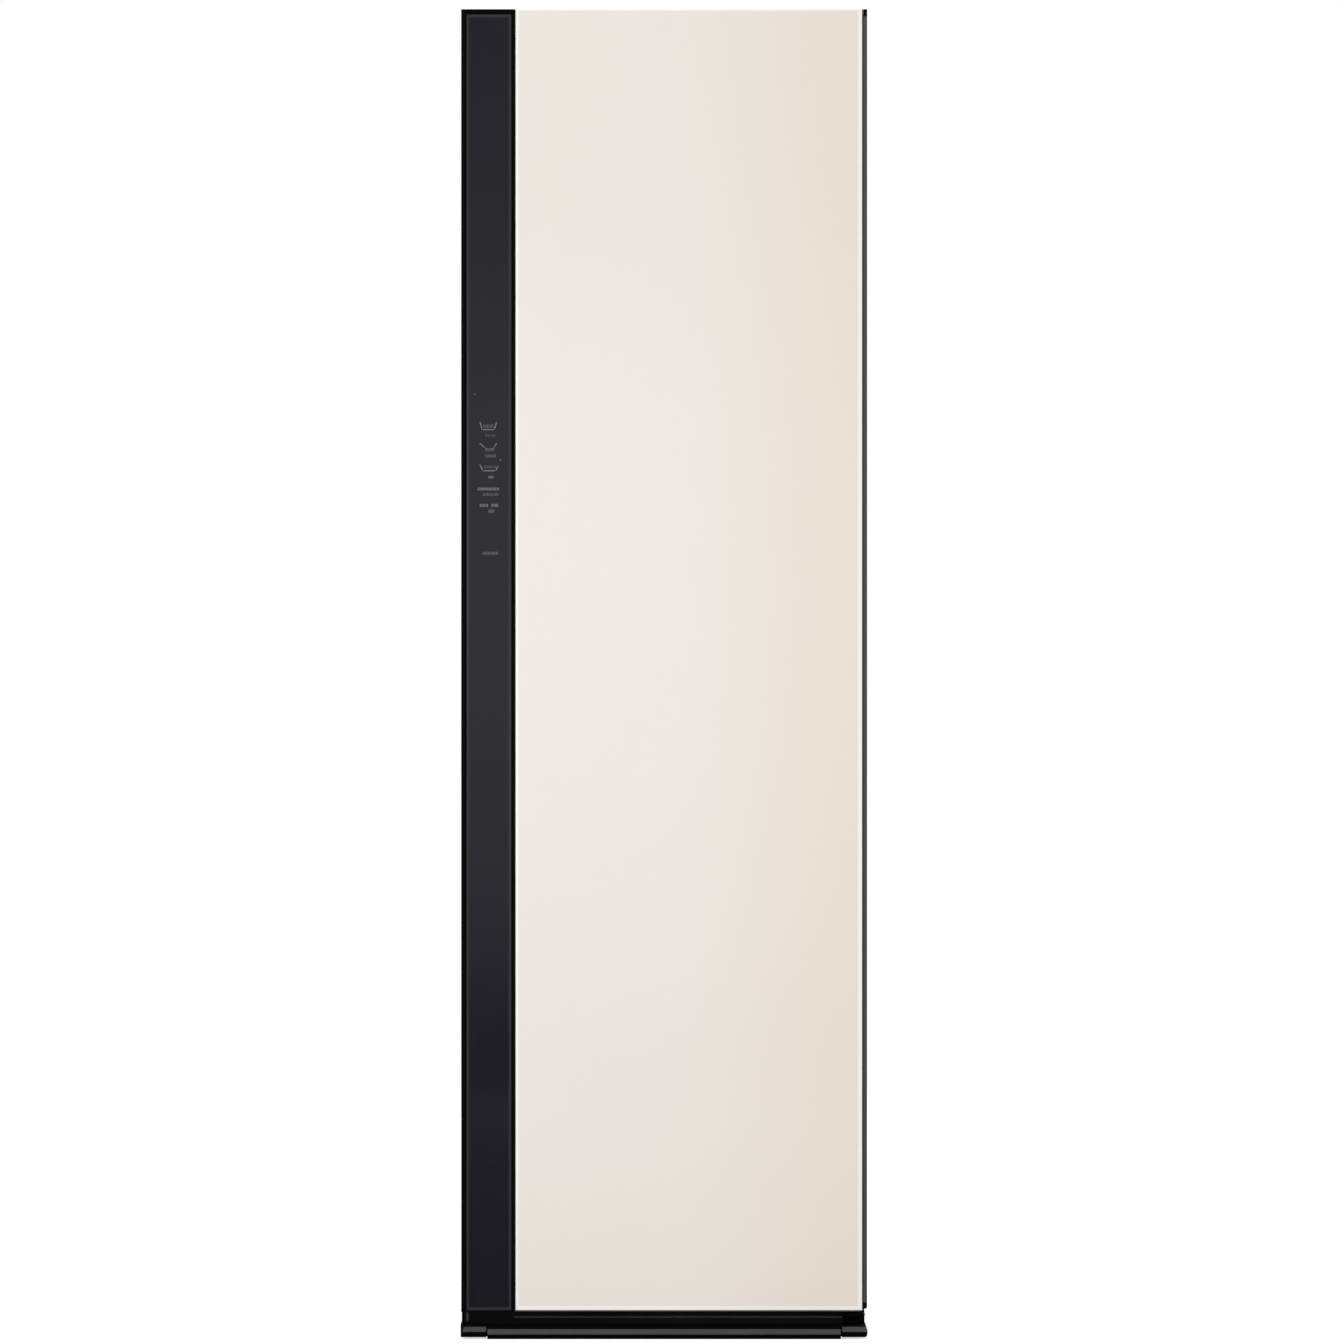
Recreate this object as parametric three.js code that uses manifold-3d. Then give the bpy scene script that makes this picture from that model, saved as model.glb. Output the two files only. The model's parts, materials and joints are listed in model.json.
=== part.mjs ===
// Clothes care steam cabinet, free-standing, one glass-fronted door.
// Millimetres, +X right, the door faces -Y, +Z up. The origin is the middle of the footprint, on the floor.

import * as THREE from "three";
import { mergeVertices } from "three/addons/utils/BufferGeometryUtils.js";
import Module from "manifold-3d";

const wasm = await Module();
wasm.setup();

// Whole cabinet
const cabinetWidth = 600;
const cabinetDepth = 596; // door glass to back panel
const cabinetHeight = 1960; // floor to the top of the door
const seat = 0.3; // gap left between pieces that rest on each other
const sheet = 1.2; // folded steel sheet
const liner = 3; // moulded plastic wall
const overrun = 5; // how far a cutting tool runs past a face
const roundSteps = 32; // facets of a large round
const smallSteps = 16; // facets of a small round

// Base
const footHeight = 8;
const footRadius = 20;
const footStudRadius = 5;
const footStudLength = 22;
const footBossRadius = 13;
const footInset = 50; // foot centre from the side and from the skirt's front and rear
const footNeck = 1; // stud seen between foot and skirt
const skirtHeight = 11;
const trayHeight = 20.5;
const baseWall = 4;
const traySetback = 40; // tray's front behind the door glass
const traySideInset = 4;
const baseRearInset = 4;
const plinthEndInset = 39.5; // plinth's end from the cabinet's side
const plinthSetback = 6;
const plinthThickness = 10;
const plinthRise = 1.5;
const cornerSetback = 8;
const cornerThickness = 8;
const cornerRise = 4;
const cornerGap = 2;
const cornerSideLength = 90;

// Steel shell
const doorUnderGap = 0.5; // door's lower edge above the base tray
const shellDrop = 16; // cabinet's top below the door's top
const topThickness = 2.2;
const wallDepth = 52; // outer side face to the chamber
const rearFlange = 20;

// Door
const doorThickness = 50;
const sealGap = 10; // door frame to cabinet front
const doorSideGap = 1;
const glassThickness = 4;
const controlWidth = 80; // door's edge to the seam between the two glasses
const glassSeam = 0.6;
const lipWidth = 5.7;
const lipDepth = 10;
const stileWidth = 37;
const railHeight = 40;
const linerStep = 10; // door liner sunk from the frame's rear face
const doorLinerThickness = 4;
const gasketInset = 18; // gasket's outer edge from the door's side
const gasketWidth = 18;
const gasketBottomInset = 17;
const gasketTopInset = 5; // gasket's outer edge below the cabinet's top
const gripLength = 360;
const gripCentreHeight = 1060;
const gripDepth = 27; // finger pocket, inwards from the door's side
const gripBreadth = 27; // finger pocket, front to rear
const gripSetback = 13; // finger pocket behind the door glass
const boardWidth = 52;
const boardHeight = 310;
const boardThickness = 2;
const boardCentreHeight = 1275;
const boardRecess = 4;

// Hinges
const hingeSideInset = 20; // hinge axis from the cabinet's side
const hingeSetback = 30; // hinge axis behind the door glass
const hingePlate = 4;
const hingePinRadius = 5;
const hingePinLength = 20;
const hingeArmHalf = 9;
const hingeCollarRadius = 9;
const hingeCollarHeight = 3;
const hingeTabHalf = 16;
const hingeBoreExtra = 3; // bore deeper than its pin
const hingeFootWidth = 46;
const hingeFootLength = 76;
const hingeFootSetback = 2; // bracket's foot behind the cabinet front
const hingeNotchSide = 3;
const hingeCoverWall = 2;
const hingeCoverClear = 1;
const hingeCoverHeight = 13;

// Chamber
const chamberFloorHeight = 484; // top of the chamber floor above the floor that the cabinet stands on
const chamberHeadroom = 160; // chamber ceiling below the top of the door
const floorThickness = 4;
const chamberRearSetback = 80; // chamber's rear face from the back panel
const lampLength = 130;
const lampBreadth = 36;
const lampThickness = 4;
const lampSetback = 40;
const nozzleFlangeRadius = 26;
const nozzleFlange = 3;
const nozzleTipRadius = 13;
const nozzleTip = 10;
const nozzleBore = 6;
const nozzleHeight = 660;
const ventSlots = 9;
const ventSlotWidth = 6;
const ventSlotLength = 52;
const ventPitch = 15;

// Tank bay
const bayFloorHeight = 330;
const ductDepth = 156; // bay's rear to the chamber's rear, where the fan and its duct are
const dividerThickness = 4;
const dividerSetback = 6;
const tankSideGap = 3;
const tankSetback = 30; // tank front behind the cabinet front
const tankFrontThickness = 6;
const tankRearGap = 35; // tank's rear to the bay's rear
const tankTopGap = 6;
const tankBodyInset = 5; // tank body narrower than its front, each side
const tankWall = 3;
const tankLidThickness = 5;
const tankLidDrop = 14; // lid's top below the top of the tank's front
const tankGripWidth = 96;
const tankGripHeight = 40;
const tankGripDepth = 24;
const tankGripTopInset = 26;
const spoutRadius = 16;
const spoutBore = 11;
const spoutHeight = 6;

// Drop-in cassettes and shelf
const cassetteFlange = 8;
const cassetteFlangeThickness = 3;
const cassetteWall = 3;
const cassetteClear = 0.6;
const filterBreadth = 66;
const filterDepth = 36;
const filterBehindBay = 22;
const filterSide = 18;
const filterEndGap = 40; // filter's outer end to the chamber's side
const gripBar = 9;
const gripBarDrop = 2;
const aromaSize = 62;
const aromaSetback = 70;
const aromaSide = 120;
const shelfSideGap = 7;
const shelfFrontGap = 45;
const shelfRearGap = 34;
const shelfThickness = 12;
const shelfLegHeight = 84;
const shelfLegSize = 16;
const shelfSlots = 11;
const shelfSlotShare = 0.52; // slot width as a share of its pitch
const shelfRim = 24;

// Hanger rack and its drive
const rackEndGap = 33; // rack's end to the chamber's side
const rackBreadth = 26;
const rackHeight = 30;
const rackTopDrop = 34; // rack's top below the chamber ceiling
const rackNotches = 5;
const notchPitch = 74;
const notchWidth = 13;
const notchDepth = 13;
const rackPostRadius = 7.5;
const rackPostSpacing = 222;
const rackStroke = 20; // rack's travel each way
const slotClear = 1.5;
const railHeightInside = 30; // bracket's ledges above the ceiling
const railThickness = 7;
const railGapHalf = 30;
const carrierLength = 300;
const carrierHalf = 50;
const carrierThickness = 6;
const carrierRib = 8;
const carrierClear = 0.5;
const yokeSlotClear = 0.4;
const crankRadius = 50;
const crankThickness = 12;
const crankPinRadius = 5;
const crankPinGap = 0.5; // pin's tip stops above the yoke
const crankAboveCarrier = 17;
const crankShaftRadius = 6;
const crankShaftRise = 8;
const motorPulleyRadius = 15;
const pulleySpacing = 112;
const beltThickness = 2.4;
const beltHeight = 9;
const bridgeAbovePulley = 15;
const bridgeThickness = 4;
const bridgeWall = 4;
const bridgeInnerHalf = 62;
const bridgeOverhang = 62; // bridge's length past each pulley's axis
const rackMotorRadius = 32;
const rackMotorHeight = 42;
const motorShaftRadius = 4;
const motorBoreDepth = 12;
const shaftClear = 0.4;

// Heat pump, steam and electrics
const coilDepth = 66;
const coilHeight = 240;
const coilFins = 13;
const coilFinThickness = 2;
const coilPlate = 6;
const coilSide = 26;
const coilMiddleGap = 12; // coil's inner end to the middle of the cabinet
const coilSetback = 60;
const coilSpacing = 26;
const compressorRadius = 58;
const compressorHeight = 176;
const compressorDome = 26;
const compressorPlate = 4;
const compressorPlateWidth = 150;
const compressorPlateDepth = 118;
const grommetRadius = 9;
const grommetHeight = 10;
const grommetInset = 14;
const compressorWallGap = 98; // compressor's axis to the chamber's side
const compressorRear = 104;
const generatorEndGap = 48; // generator's outer end to the chamber's side
const generatorDepth = 110;
const generatorHeight = 96;
const generatorLid = 10;
const generatorLidOverhang = 5;
const generatorPortRadius = 9;
const generatorPortHeight = 16;
const generatorSide = 30;
const generatorSetback = 70;
const boxMiddleGap = 8; // control box's inner end to the middle of the cabinet
const boxDepth = 60;
const boxHeight = 150;
const boxRidge = 12;
const boxRidgeInset = 20;
const boxSide = 70;
const boxRear = 160;
const impellerRadius = 52;
const impellerWidth = 40;
const impellerBlades = 20;
const impellerBlade = 2;
const impellerBladeDepth = 16;
const impellerDisc = 3;
const impellerHubRadius = 12;
const scrollGapSmall = 6;
const scrollGapLarge = 20;
const scrollWall = 2.5;
const scrollSideGap = 4;
const scrollSteps = 28;
const inletShare = 0.72; // fan inlet's radius as a share of the impeller's
const fanWallGap = 118; // fan's axis to the chamber's side
const fanBehindBay = 16;
const fanDrop = 86; // fan's axis below the chamber floor's underside
const fanMotorRadius = 30;
const fanMotorLength = 34;
const inletPanelWidth = 52;
const inletPanelHeight = 36;
const inletBodyDepth = 28;
const inletWall = 6;
const inletCornerGap = 90; // inlet's middle to the cabinet's side
const inletHeight = 150;
const inletFlange = 6;
const inletFlangeThickness = 3;

// Trouser press
const pressWidth = 300;
const pressTopDrop = 400; // press's upper edge below the top of the door
const pressBottomHeight = 760;
const pressBoard = 16.5;
const pressPanelThickness = 17;
const pressGap = 2;
const pressKnuckleRadius = 5.5;
const pressPinRadius = 2.5;
const pressHingeOut = 8; // press hinge axis past the board's edge
const pressKnuckles = 5;
const pressKnuckleShare = 0.075; // one knuckle's length as a share of the press's height
const pressWeb = 5;
const pressMarginShare = 0.1125; // first and last knuckle from the board's ends, as a share of its height
const trouserRailWidth = 240;
const trouserRailHeight = 46;
const trouserRailDepth = 18;
const trouserAbovePress = 34;
const earThickness = 6;
const earRadius = 7;
const earRise = 10;
const flapAxleRadius = 3;
const flapThickness = 4;
const flapAxleOut = 7;
const flapHeight = 44;
const jawHeight = 6;
const flapSideGap = 1;

// Places worked out from the sizes above
const halfWidth = cabinetWidth / 2;
const frontY = -cabinetDepth / 2;
const backY = cabinetDepth / 2;
const doorRearY = frontY + doorThickness;
const bodyFrontY = doorRearY + sealGap;
const skirtBottomZ = footHeight + footNeck;
const skirtTopZ = skirtBottomZ + skirtHeight;
const deckZ = skirtTopZ + trayHeight;
const doorBottomZ = deckZ + doorUnderGap;
const shellTopZ = cabinetHeight - shellDrop;
const shellBottomZ = deckZ + seat;
const topUnderZ = shellTopZ - topThickness;
const sideTopZ = topUnderZ - seat;
const chamberHalf = halfWidth - wallDepth;
const linerOuterHalf = chamberHalf + liner;
const flangeEdge = linerOuterHalf + seat;
const coverHalf = linerOuterHalf - seat;
const innerHalf = chamberHalf - seat; // pieces that span between the side liners
const chamberRearY = backY - chamberRearSetback;
const floorTopZ = chamberFloorHeight;
const floorUnderZ = floorTopZ - floorThickness;
const chamberCeilingHeight = cabinetHeight - chamberHeadroom;
const ceilingZ = chamberCeilingHeight;
const ceilingTopZ = ceilingZ + liner;
const bayFloorZ = bayFloorHeight;
const bayTopZ = bayFloorZ + liner;
const bayDepth = chamberRearY - bodyFrontY - ductDepth;
const bayRearY = bodyFrontY + bayDepth;
const tankDepth = bayDepth - tankSetback - tankRearGap;
const filterLength = chamberHalf - filterSide - filterEndGap;
const rackLength = 2 * (chamberHalf - rackEndGap);
const coilWidth = chamberHalf - coilSide - coilMiddleGap;
const compressorSide = chamberHalf - compressorWallGap;
const generatorWidth = chamberHalf - generatorSide - generatorEndGap;
const boxWidth = chamberHalf - boxSide - boxMiddleGap;
const fanSide = chamberHalf - fanWallGap;
const inletSide = halfWidth - inletCornerGap;
const plinthLength = cabinetWidth - 2 * plinthEndInset;
const plinthFrontY = frontY + plinthSetback;
const skirtFrontY = plinthFrontY + plinthThickness + seat;
const skirtHalf = halfWidth - cornerThickness - seat;
const skirtRearY = backY - baseRearInset;
const trayFrontY = frontY + traySetback;
const trayHalf = halfWidth - traySideInset;
const doorHalf = halfWidth - doorSideGap;
const frameFrontY = frontY + glassThickness + seat;
const stileInner = doorHalf - stileWidth;
const hingeX = halfWidth - hingeSideInset;
const hingeY = frontY + hingeSetback;
const hingePlateTopZ = shellTopZ + seat + hingePlate;
const doorLinerRearY = doorRearY - linerStep;
const rackY = (bodyFrontY + chamberRearY) / 2;
const rackTopZ = ceilingZ - rackTopDrop;
const ledgeTopZ = ceilingTopZ + railHeightInside;
const carrierUnderZ = ledgeTopZ + seat;
const carrierTopZ = carrierUnderZ + carrierThickness;
const crankUnderZ = carrierTopZ + crankAboveCarrier;
const crankTopZ = crankUnderZ + crankThickness;
const bridgeUnderZ = crankTopZ + bridgeAbovePulley;
const bridgeTopZ = bridgeUnderZ + bridgeThickness;
const fanY = bayRearY + fanBehindBay;
const fanZ = floorUnderZ - fanDrop;
const filterX = filterSide;
const filterY = bayRearY + filterBehindBay;
const pressHeight = cabinetHeight - pressTopDrop - pressBottomHeight;
const pressKnuckleLength = pressHeight * pressKnuckleShare;
const pressMarginZ = pressHeight * pressMarginShare;
const pressAxisX = pressWidth / 2 + pressHingeOut;
const pressBoardFaceY = doorLinerRearY + seat + pressBoard;
const pressAxisY = pressBoardFaceY + pressGap / 2;
const pressPanelY = pressBoardFaceY + pressGap;
const trouserZ = pressBottomHeight + pressHeight + trouserAbovePress;

// Geometry helpers

// A box given by its two faces on each axis, in any order. Each corner takes its exact value from them.
function block(xs, ys, zs) {
  const box = new THREE.BoxGeometry(1, 1, 1);
  const corners = box.attributes.position;
  const pick = (value, faces) => (value < 0 ? Math.min(...faces) : Math.max(...faces));
  for (let i = 0; i < corners.count; i += 1) {
    corners.setXYZ(i, pick(corners.getX(i), xs), pick(corners.getY(i), ys), pick(corners.getZ(i), zs));
  }
  return box;
}

// A round bar from a start point along one axis.
function rod(radius, length, axis, start, steps = smallSteps) {
  const bar = new THREE.CylinderGeometry(radius, radius, length, steps).translate(0, length / 2, 0);
  if (axis === "x") bar.rotateZ(-Math.PI / 2);
  if (axis === "z") bar.rotateX(Math.PI / 2);
  return bar.translate(...start);
}

// A flat outline in X and Y, given thickness upwards from z.
function slab(shape, z, height, curveSteps = roundSteps / 2) {
  return new THREE.ExtrudeGeometry(shape, {
    depth: height,
    bevelEnabled: false,
    curveSegments: curveSteps,
  }).translate(0, 0, z);
}

// A closed outline through the given corners.
function outlineOf(corners) {
  return new THREE.Shape(corners.map(([x, y]) => new THREE.Vector2(x, y)));
}

function solidOf(geometry) {
  const bare = geometry.index ? geometry.toNonIndexed() : geometry.clone();
  bare.deleteAttribute("normal");
  bare.deleteAttribute("uv");
  const merged = mergeVertices(bare, 1e-4);
  return new wasm.Manifold(
    new wasm.Mesh({
      numProp: 3,
      vertProperties: merged.attributes.position.array,
      triVerts: new Uint32Array(merged.index.array),
    }),
  );
}

function geometryOf(solid) {
  const mesh = solid.getMesh();
  const geometry = new THREE.BufferGeometry();
  geometry.setAttribute("position", new THREE.BufferAttribute(mesh.vertProperties, mesh.numProp));
  geometry.setIndex(new THREE.BufferAttribute(mesh.triVerts, 1));
  geometry.computeVertexNormals();
  return geometry;
}

function join(...pieces) {
  return geometryOf(pieces.map(solidOf).reduce((whole, piece) => whole.add(piece)));
}

function cut(whole, ...tools) {
  return geometryOf(tools.map(solidOf).reduce((left, tool) => left.subtract(tool), solidOf(whole)));
}

// Materials, one small function for each finish

function finish(colour, roughness, metalness = 0) {
  return new THREE.MeshStandardMaterial({ color: colour, roughness, metalness });
}

const blackPlastic = finish(0x141312, 0.6);
const greyPlastic = finish(0x5f5f60, 0.55);
const darkSteel = finish(0x34343a, 0.45, 0.3);
const zincSteel = finish(0xa9abad, 0.4, 0.8);
const doorMetal = finish(0x46474b, 0.4, 0.5);
const beigeGlass = finish(0xefe6e1, 0.12);
const blackGlass = finish(0x2c2b30, 0.1);
const linerPlastic = finish(0xd9d6cf, 0.5);
const whitePlastic = finish(0xe8e6e2, 0.45);
const smokePlastic = finish(0x9aa3aa, 0.2);
const rubber = finish(0x2a2a2b, 0.85);
const lampPlastic = finish(0xfbf8ee, 0.3);
const aluminium = finish(0xc4c7ca, 0.4, 0.9);
const copperSteel = finish(0x1e1f21, 0.5, 0.4);
const boardGreen = finish(0x1f5138, 0.5);
const pressFelt = finish(0xc9c4bb, 0.8);

const cabinet = new THREE.Group();
cabinet.name = "steam_cabinet";

function add(name, geometry, material) {
  const mesh = new THREE.Mesh(geometry, material);
  mesh.name = name;
  cabinet.add(mesh);
}

// Base: a hollow two-tier tray on four feet, the rear two moulded on

const footX = halfWidth - footInset;
const footFrontY = skirtFrontY + footInset;
const footRearY = skirtRearY - footInset;

function baseFrame() {
  const skirt = block([-skirtHalf, skirtHalf], [skirtFrontY, skirtRearY], [skirtBottomZ, skirtTopZ]);
  const tray = block([-trayHalf, trayHalf], [trayFrontY, skirtRearY], [skirtTopZ, deckZ]);
  const hollowHalf = skirtHalf - baseWall;
  const hollow = block(
    [-hollowHalf, hollowHalf],
    [trayFrontY + baseWall, skirtRearY - baseWall],
    [skirtBottomZ - overrun, deckZ - baseWall],
  );
  const bossHeight = deckZ - baseWall - skirtBottomZ;
  const pieces = [cut(join(skirt, tray), hollow)];
  for (const side of [-1, 1]) {
    const bossStart = [side * footX, footFrontY, skirtBottomZ];
    pieces.push(rod(footBossRadius, bossHeight + baseWall / 2, "z", bossStart));
    const rearFootStart = [side * footX, footRearY, 0];
    pieces.push(rod(footRadius, deckZ - baseWall / 2, "z", rearFootStart, roundSteps));
  }
  const bores = [-1, 1].map((side) =>
    rod(footStudRadius + seat, footStudLength + footNeck + seat, "z", [side * footX, footFrontY, footHeight]),
  );
  return cut(join(...pieces), ...bores);
}

function foot(side) {
  return join(
    rod(footRadius, footHeight, "z", [side * footX, footFrontY, 0], roundSteps),
    rod(footStudRadius, footHeight / 2 + footStudLength, "z", [side * footX, footFrontY, footHeight / 2]),
  );
}

function plinthCover() {
  const half = plinthLength / 2;
  return block([-half, half], [plinthFrontY, plinthFrontY + plinthThickness], [plinthRise, skirtTopZ]);
}

// Corner cover: a front leg and a longer side leg, as one moulding.
function baseCorner(side) {
  const cornerFrontY = frontY + cornerSetback;
  const frontLeg = block(
    [side * (plinthLength / 2 + cornerGap), side * halfWidth],
    [cornerFrontY, skirtFrontY - seat],
    [cornerRise, skirtTopZ],
  );
  const sideLeg = block(
    [side * (halfWidth - cornerThickness), side * halfWidth],
    [cornerFrontY, cornerFrontY + cornerSideLength],
    [cornerRise, skirtTopZ],
  );
  return join(frontLeg, sideLeg);
}

add("base_frame", baseFrame(), blackPlastic);
add("plinth_cover", plinthCover(), greyPlastic);
add("base_corner_left", baseCorner(-1), greyPlastic);
add("base_corner_right", baseCorner(1), greyPlastic);
add("foot_left", foot(-1), rubber);
add("foot_right", foot(1), rubber);

// Steel shell

const backPanelFrontY = backY - sheet;

// A side panel is one folded sheet: the skin, a front flange up to the liner and a narrower rear flange.
function sidePanel(side) {
  const rearY = backPanelFrontY - seat;
  const folds = [
    [halfWidth, bodyFrontY],
    [flangeEdge, bodyFrontY],
    [flangeEdge, bodyFrontY + sheet],
    [halfWidth - sheet, bodyFrontY + sheet],
    [halfWidth - sheet, rearY - sheet],
    [halfWidth - rearFlange, rearY - sheet],
    [halfWidth - rearFlange, rearY],
    [halfWidth, rearY],
  ];
  return slab(outlineOf(folds.map(([x, y]) => [side * x, y])), shellBottomZ, sideTopZ - shellBottomZ);
}

function backPanel() {
  const plate = block([-halfWidth, halfWidth], [backPanelFrontY, backY], [shellBottomZ, sideTopZ]);
  const socket = block(
    [inletSide - inletPanelWidth / 2 - seat, inletSide + inletPanelWidth / 2 + seat],
    [backPanelFrontY - overrun, backY + overrun],
    [inletHeight - inletPanelHeight / 2 - seat, inletHeight + inletPanelHeight / 2 + seat],
  );
  return cut(plate, socket);
}

// The mains inlet: a cup behind the back panel, open to the rear, with a flange inside the panel.
function powerInlet() {
  const halfX = inletPanelWidth / 2;
  const halfZ = inletPanelHeight / 2;
  const body = block(
    [inletSide - halfX, inletSide + halfX],
    [backY - inletBodyDepth, backY],
    [inletHeight - halfZ, inletHeight + halfZ],
  );
  const flangeRearY = backPanelFrontY - seat;
  const flange = block(
    [inletSide - halfX - inletFlange, inletSide + halfX + inletFlange],
    [flangeRearY - inletFlangeThickness, flangeRearY],
    [inletHeight - halfZ - inletFlange, inletHeight + halfZ + inletFlange],
  );
  const cup = block(
    [inletSide - halfX + inletWall, inletSide + halfX - inletWall],
    [backY - inletBodyDepth + inletWall, backY + overrun],
    [inletHeight - halfZ + inletWall, inletHeight + halfZ - inletWall],
  );
  return cut(join(body, flange), cup);
}

function topPanel() {
  return block([-halfWidth, halfWidth], [bodyFrontY, backY], [topUnderZ, shellTopZ]);
}

function headerCover() {
  return block([-coverHalf, coverHalf], [bodyFrontY, bodyFrontY + liner], [ceilingTopZ + seat, sideTopZ]);
}

function lowerCover() {
  return block([-coverHalf, coverHalf], [bodyFrontY, bodyFrontY + liner], [shellBottomZ, bayFloorZ - seat]);
}

add("side_panel_left", sidePanel(-1), darkSteel);
add("side_panel_right", sidePanel(1), darkSteel);
add("back_panel", backPanel(), zincSteel);
add("top_panel", topPanel(), darkSteel);
add("header_cover", headerCover(), linerPlastic);
add("lower_cover", lowerCover(), linerPlastic);
add("power_inlet", powerInlet(), blackPlastic);

// Chamber liner

const rackPostX = rackPostSpacing / 2;
const aromaX = -aromaSide;
const aromaY = bodyFrontY + aromaSetback;

function linerSide(side) {
  return block(
    [side * chamberHalf, side * linerOuterHalf],
    [bodyFrontY, chamberRearY - seat],
    [bayFloorZ, ceilingTopZ],
  );
}

function linerRear() {
  return block(
    [-linerOuterHalf, linerOuterHalf],
    [chamberRearY, chamberRearY + liner],
    [floorUnderZ, ceilingTopZ],
  );
}

// The ceiling has a slot for each post of the hanger rack, long enough for its stroke.
function linerCeiling() {
  const plate = block([-innerHalf, innerHalf], [bodyFrontY, chamberRearY - seat], [ceilingZ, ceilingTopZ]);
  const reach = rackPostRadius + rackStroke + slotClear;
  const breadth = rackPostRadius + slotClear;
  const slots = [-1, 1].map((side) =>
    block(
      [side * rackPostX - reach, side * rackPostX + reach],
      [rackY - breadth, rackY + breadth],
      [ceilingZ - overrun, ceilingTopZ + overrun],
    ),
  );
  return cut(plate, ...slots);
}

// The floor has a well for each cassette and a row of outlet slots above the fan.
function linerFloor() {
  const plate = block([-innerHalf, innerHalf], [bodyFrontY, chamberRearY - seat], [floorUnderZ, floorTopZ]);
  const zs = [floorUnderZ - overrun, floorTopZ + overrun];
  const filterWell = block(
    [filterX - cassetteClear, filterX + filterLength + cassetteClear],
    [filterY - cassetteClear, filterY + filterBreadth + cassetteClear],
    zs,
  );
  const aromaWell = block(
    [aromaX - cassetteClear, aromaX + aromaSize + cassetteClear],
    [aromaY - cassetteClear, aromaY + aromaSize + cassetteClear],
    zs,
  );
  const vents = [];
  for (let i = 0; i < ventSlots; i += 1) {
    const x = -fanSide + (i - (ventSlots - 1) / 2) * ventPitch;
    const xs = [x - ventSlotWidth / 2, x + ventSlotWidth / 2];
    vents.push(block(xs, [ventY - ventSlotLength / 2, ventY + ventSlotLength / 2], zs));
  }
  return cut(plate, filterWell, aromaWell, ...vents);
}

const fanHousingDepth = impellerWidth + 2 * scrollSideGap + 2 * scrollWall;
const ventY = fanY + fanHousingDepth / 2;

add("liner_left", linerSide(-1), linerPlastic);
add("liner_right", linerSide(1), linerPlastic);
add("liner_rear", linerRear(), linerPlastic);
add("liner_ceiling", linerCeiling(), linerPlastic);
add("liner_floor", linerFloor(), linerPlastic);

// Tank bay and its two tanks

const bayHalf = innerHalf;
const tankFrontY = bodyFrontY + tankSetback;
const tankTopZ = floorUnderZ - tankTopGap;
const tankBottomZ = bayTopZ + seat;

function tankTray() {
  const floor = block([-bayHalf, bayHalf], [bodyFrontY, bayRearY], [bayFloorZ, bayTopZ]);
  const rear = block([-bayHalf, bayHalf], [bayRearY - liner, bayRearY], [bayFloorZ, floorUnderZ - seat]);
  const divider = block(
    [-dividerThickness / 2, dividerThickness / 2],
    [bodyFrontY + dividerSetback, bayRearY],
    [bayFloorZ, floorUnderZ - seat],
  );
  return join(floor, rear, divider);
}

// The faces of one tank across the bay: inner face by the divider, outer face by the liner.
function tankSpan(side) {
  return [side * (dividerThickness / 2 + tankSideGap), side * (chamberHalf - tankSideGap)];
}

function shrink([near, far], amount) {
  const step = Math.sign(far - near) * amount;
  return [near + step, far - step];
}

// An open-topped tank with a wide front plate and a finger grip sunk in the front.
function tankBody(side) {
  const across = tankSpan(side);
  const bodyAcross = shrink(across, tankBodyInset);
  const lidUnderZ = tankTopZ - tankLidDrop - tankLidThickness - seat;
  const bodyRearY = tankFrontY + tankDepth;
  const front = block(across, [tankFrontY, tankFrontY + tankFrontThickness], [tankBottomZ, tankTopZ]);
  const shell = block(bodyAcross, [tankFrontY, bodyRearY], [tankBottomZ, lidUnderZ]);
  const hollow = block(
    shrink(bodyAcross, tankWall),
    [tankFrontY + tankFrontThickness, bodyRearY - tankWall],
    [tankBottomZ + tankWall, lidUnderZ + overrun],
  );
  const middle = (across[0] + across[1]) / 2;
  const gripTopZ = tankTopZ - tankGripTopInset;
  const gripZs = [gripTopZ - tankGripHeight, gripTopZ];
  const gripXs = [middle - tankGripWidth / 2, middle + tankGripWidth / 2];
  const gripCup = block(
    shrink(gripXs, -tankWall),
    [tankFrontY, tankFrontY + tankGripDepth + tankWall],
    [gripZs[0] - tankWall, Math.min(gripZs[1] + tankWall, lidUnderZ)],
  );
  const gripHollow = block(gripXs, [tankFrontY - overrun, tankFrontY + tankGripDepth], gripZs);
  return cut(join(cut(shell, hollow), front, gripCup), gripHollow);
}

// A flat lid with a raised spout, bored through.
function tankLid(side) {
  const across = shrink(tankSpan(side), tankBodyInset);
  const lidTopZ = tankTopZ - tankLidDrop;
  const lidUnderZ = lidTopZ - tankLidThickness;
  const spoutX = (across[0] + across[1]) / 2;
  const spoutY = tankFrontY + tankDepth - tankGripDepth - spoutRadius;
  const plateYs = [tankFrontY + tankFrontThickness + seat, tankFrontY + tankDepth];
  const plate = block(across, plateYs, [lidUnderZ, lidTopZ]);
  const spout = rod(spoutRadius, tankLidThickness / 2 + spoutHeight, "z", [
    spoutX,
    spoutY,
    lidTopZ - tankLidThickness / 2,
  ]);
  const bore = rod(spoutBore, tankLidThickness + spoutHeight + 2 * overrun, "z", [
    spoutX,
    spoutY,
    lidUnderZ - overrun,
  ]);
  return cut(join(plate, spout), bore);
}

add("tank_tray", tankTray(), linerPlastic);
add("supply_tank", tankBody(1), smokePlastic);
add("supply_tank_lid", tankLid(1), whitePlastic);
add("drain_tank", tankBody(-1), smokePlastic);
add("drain_tank_lid", tankLid(-1), whitePlastic);

// Drop-in cassettes: a tray that hangs in its well by a flange, with a bar across to lift it by

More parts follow.
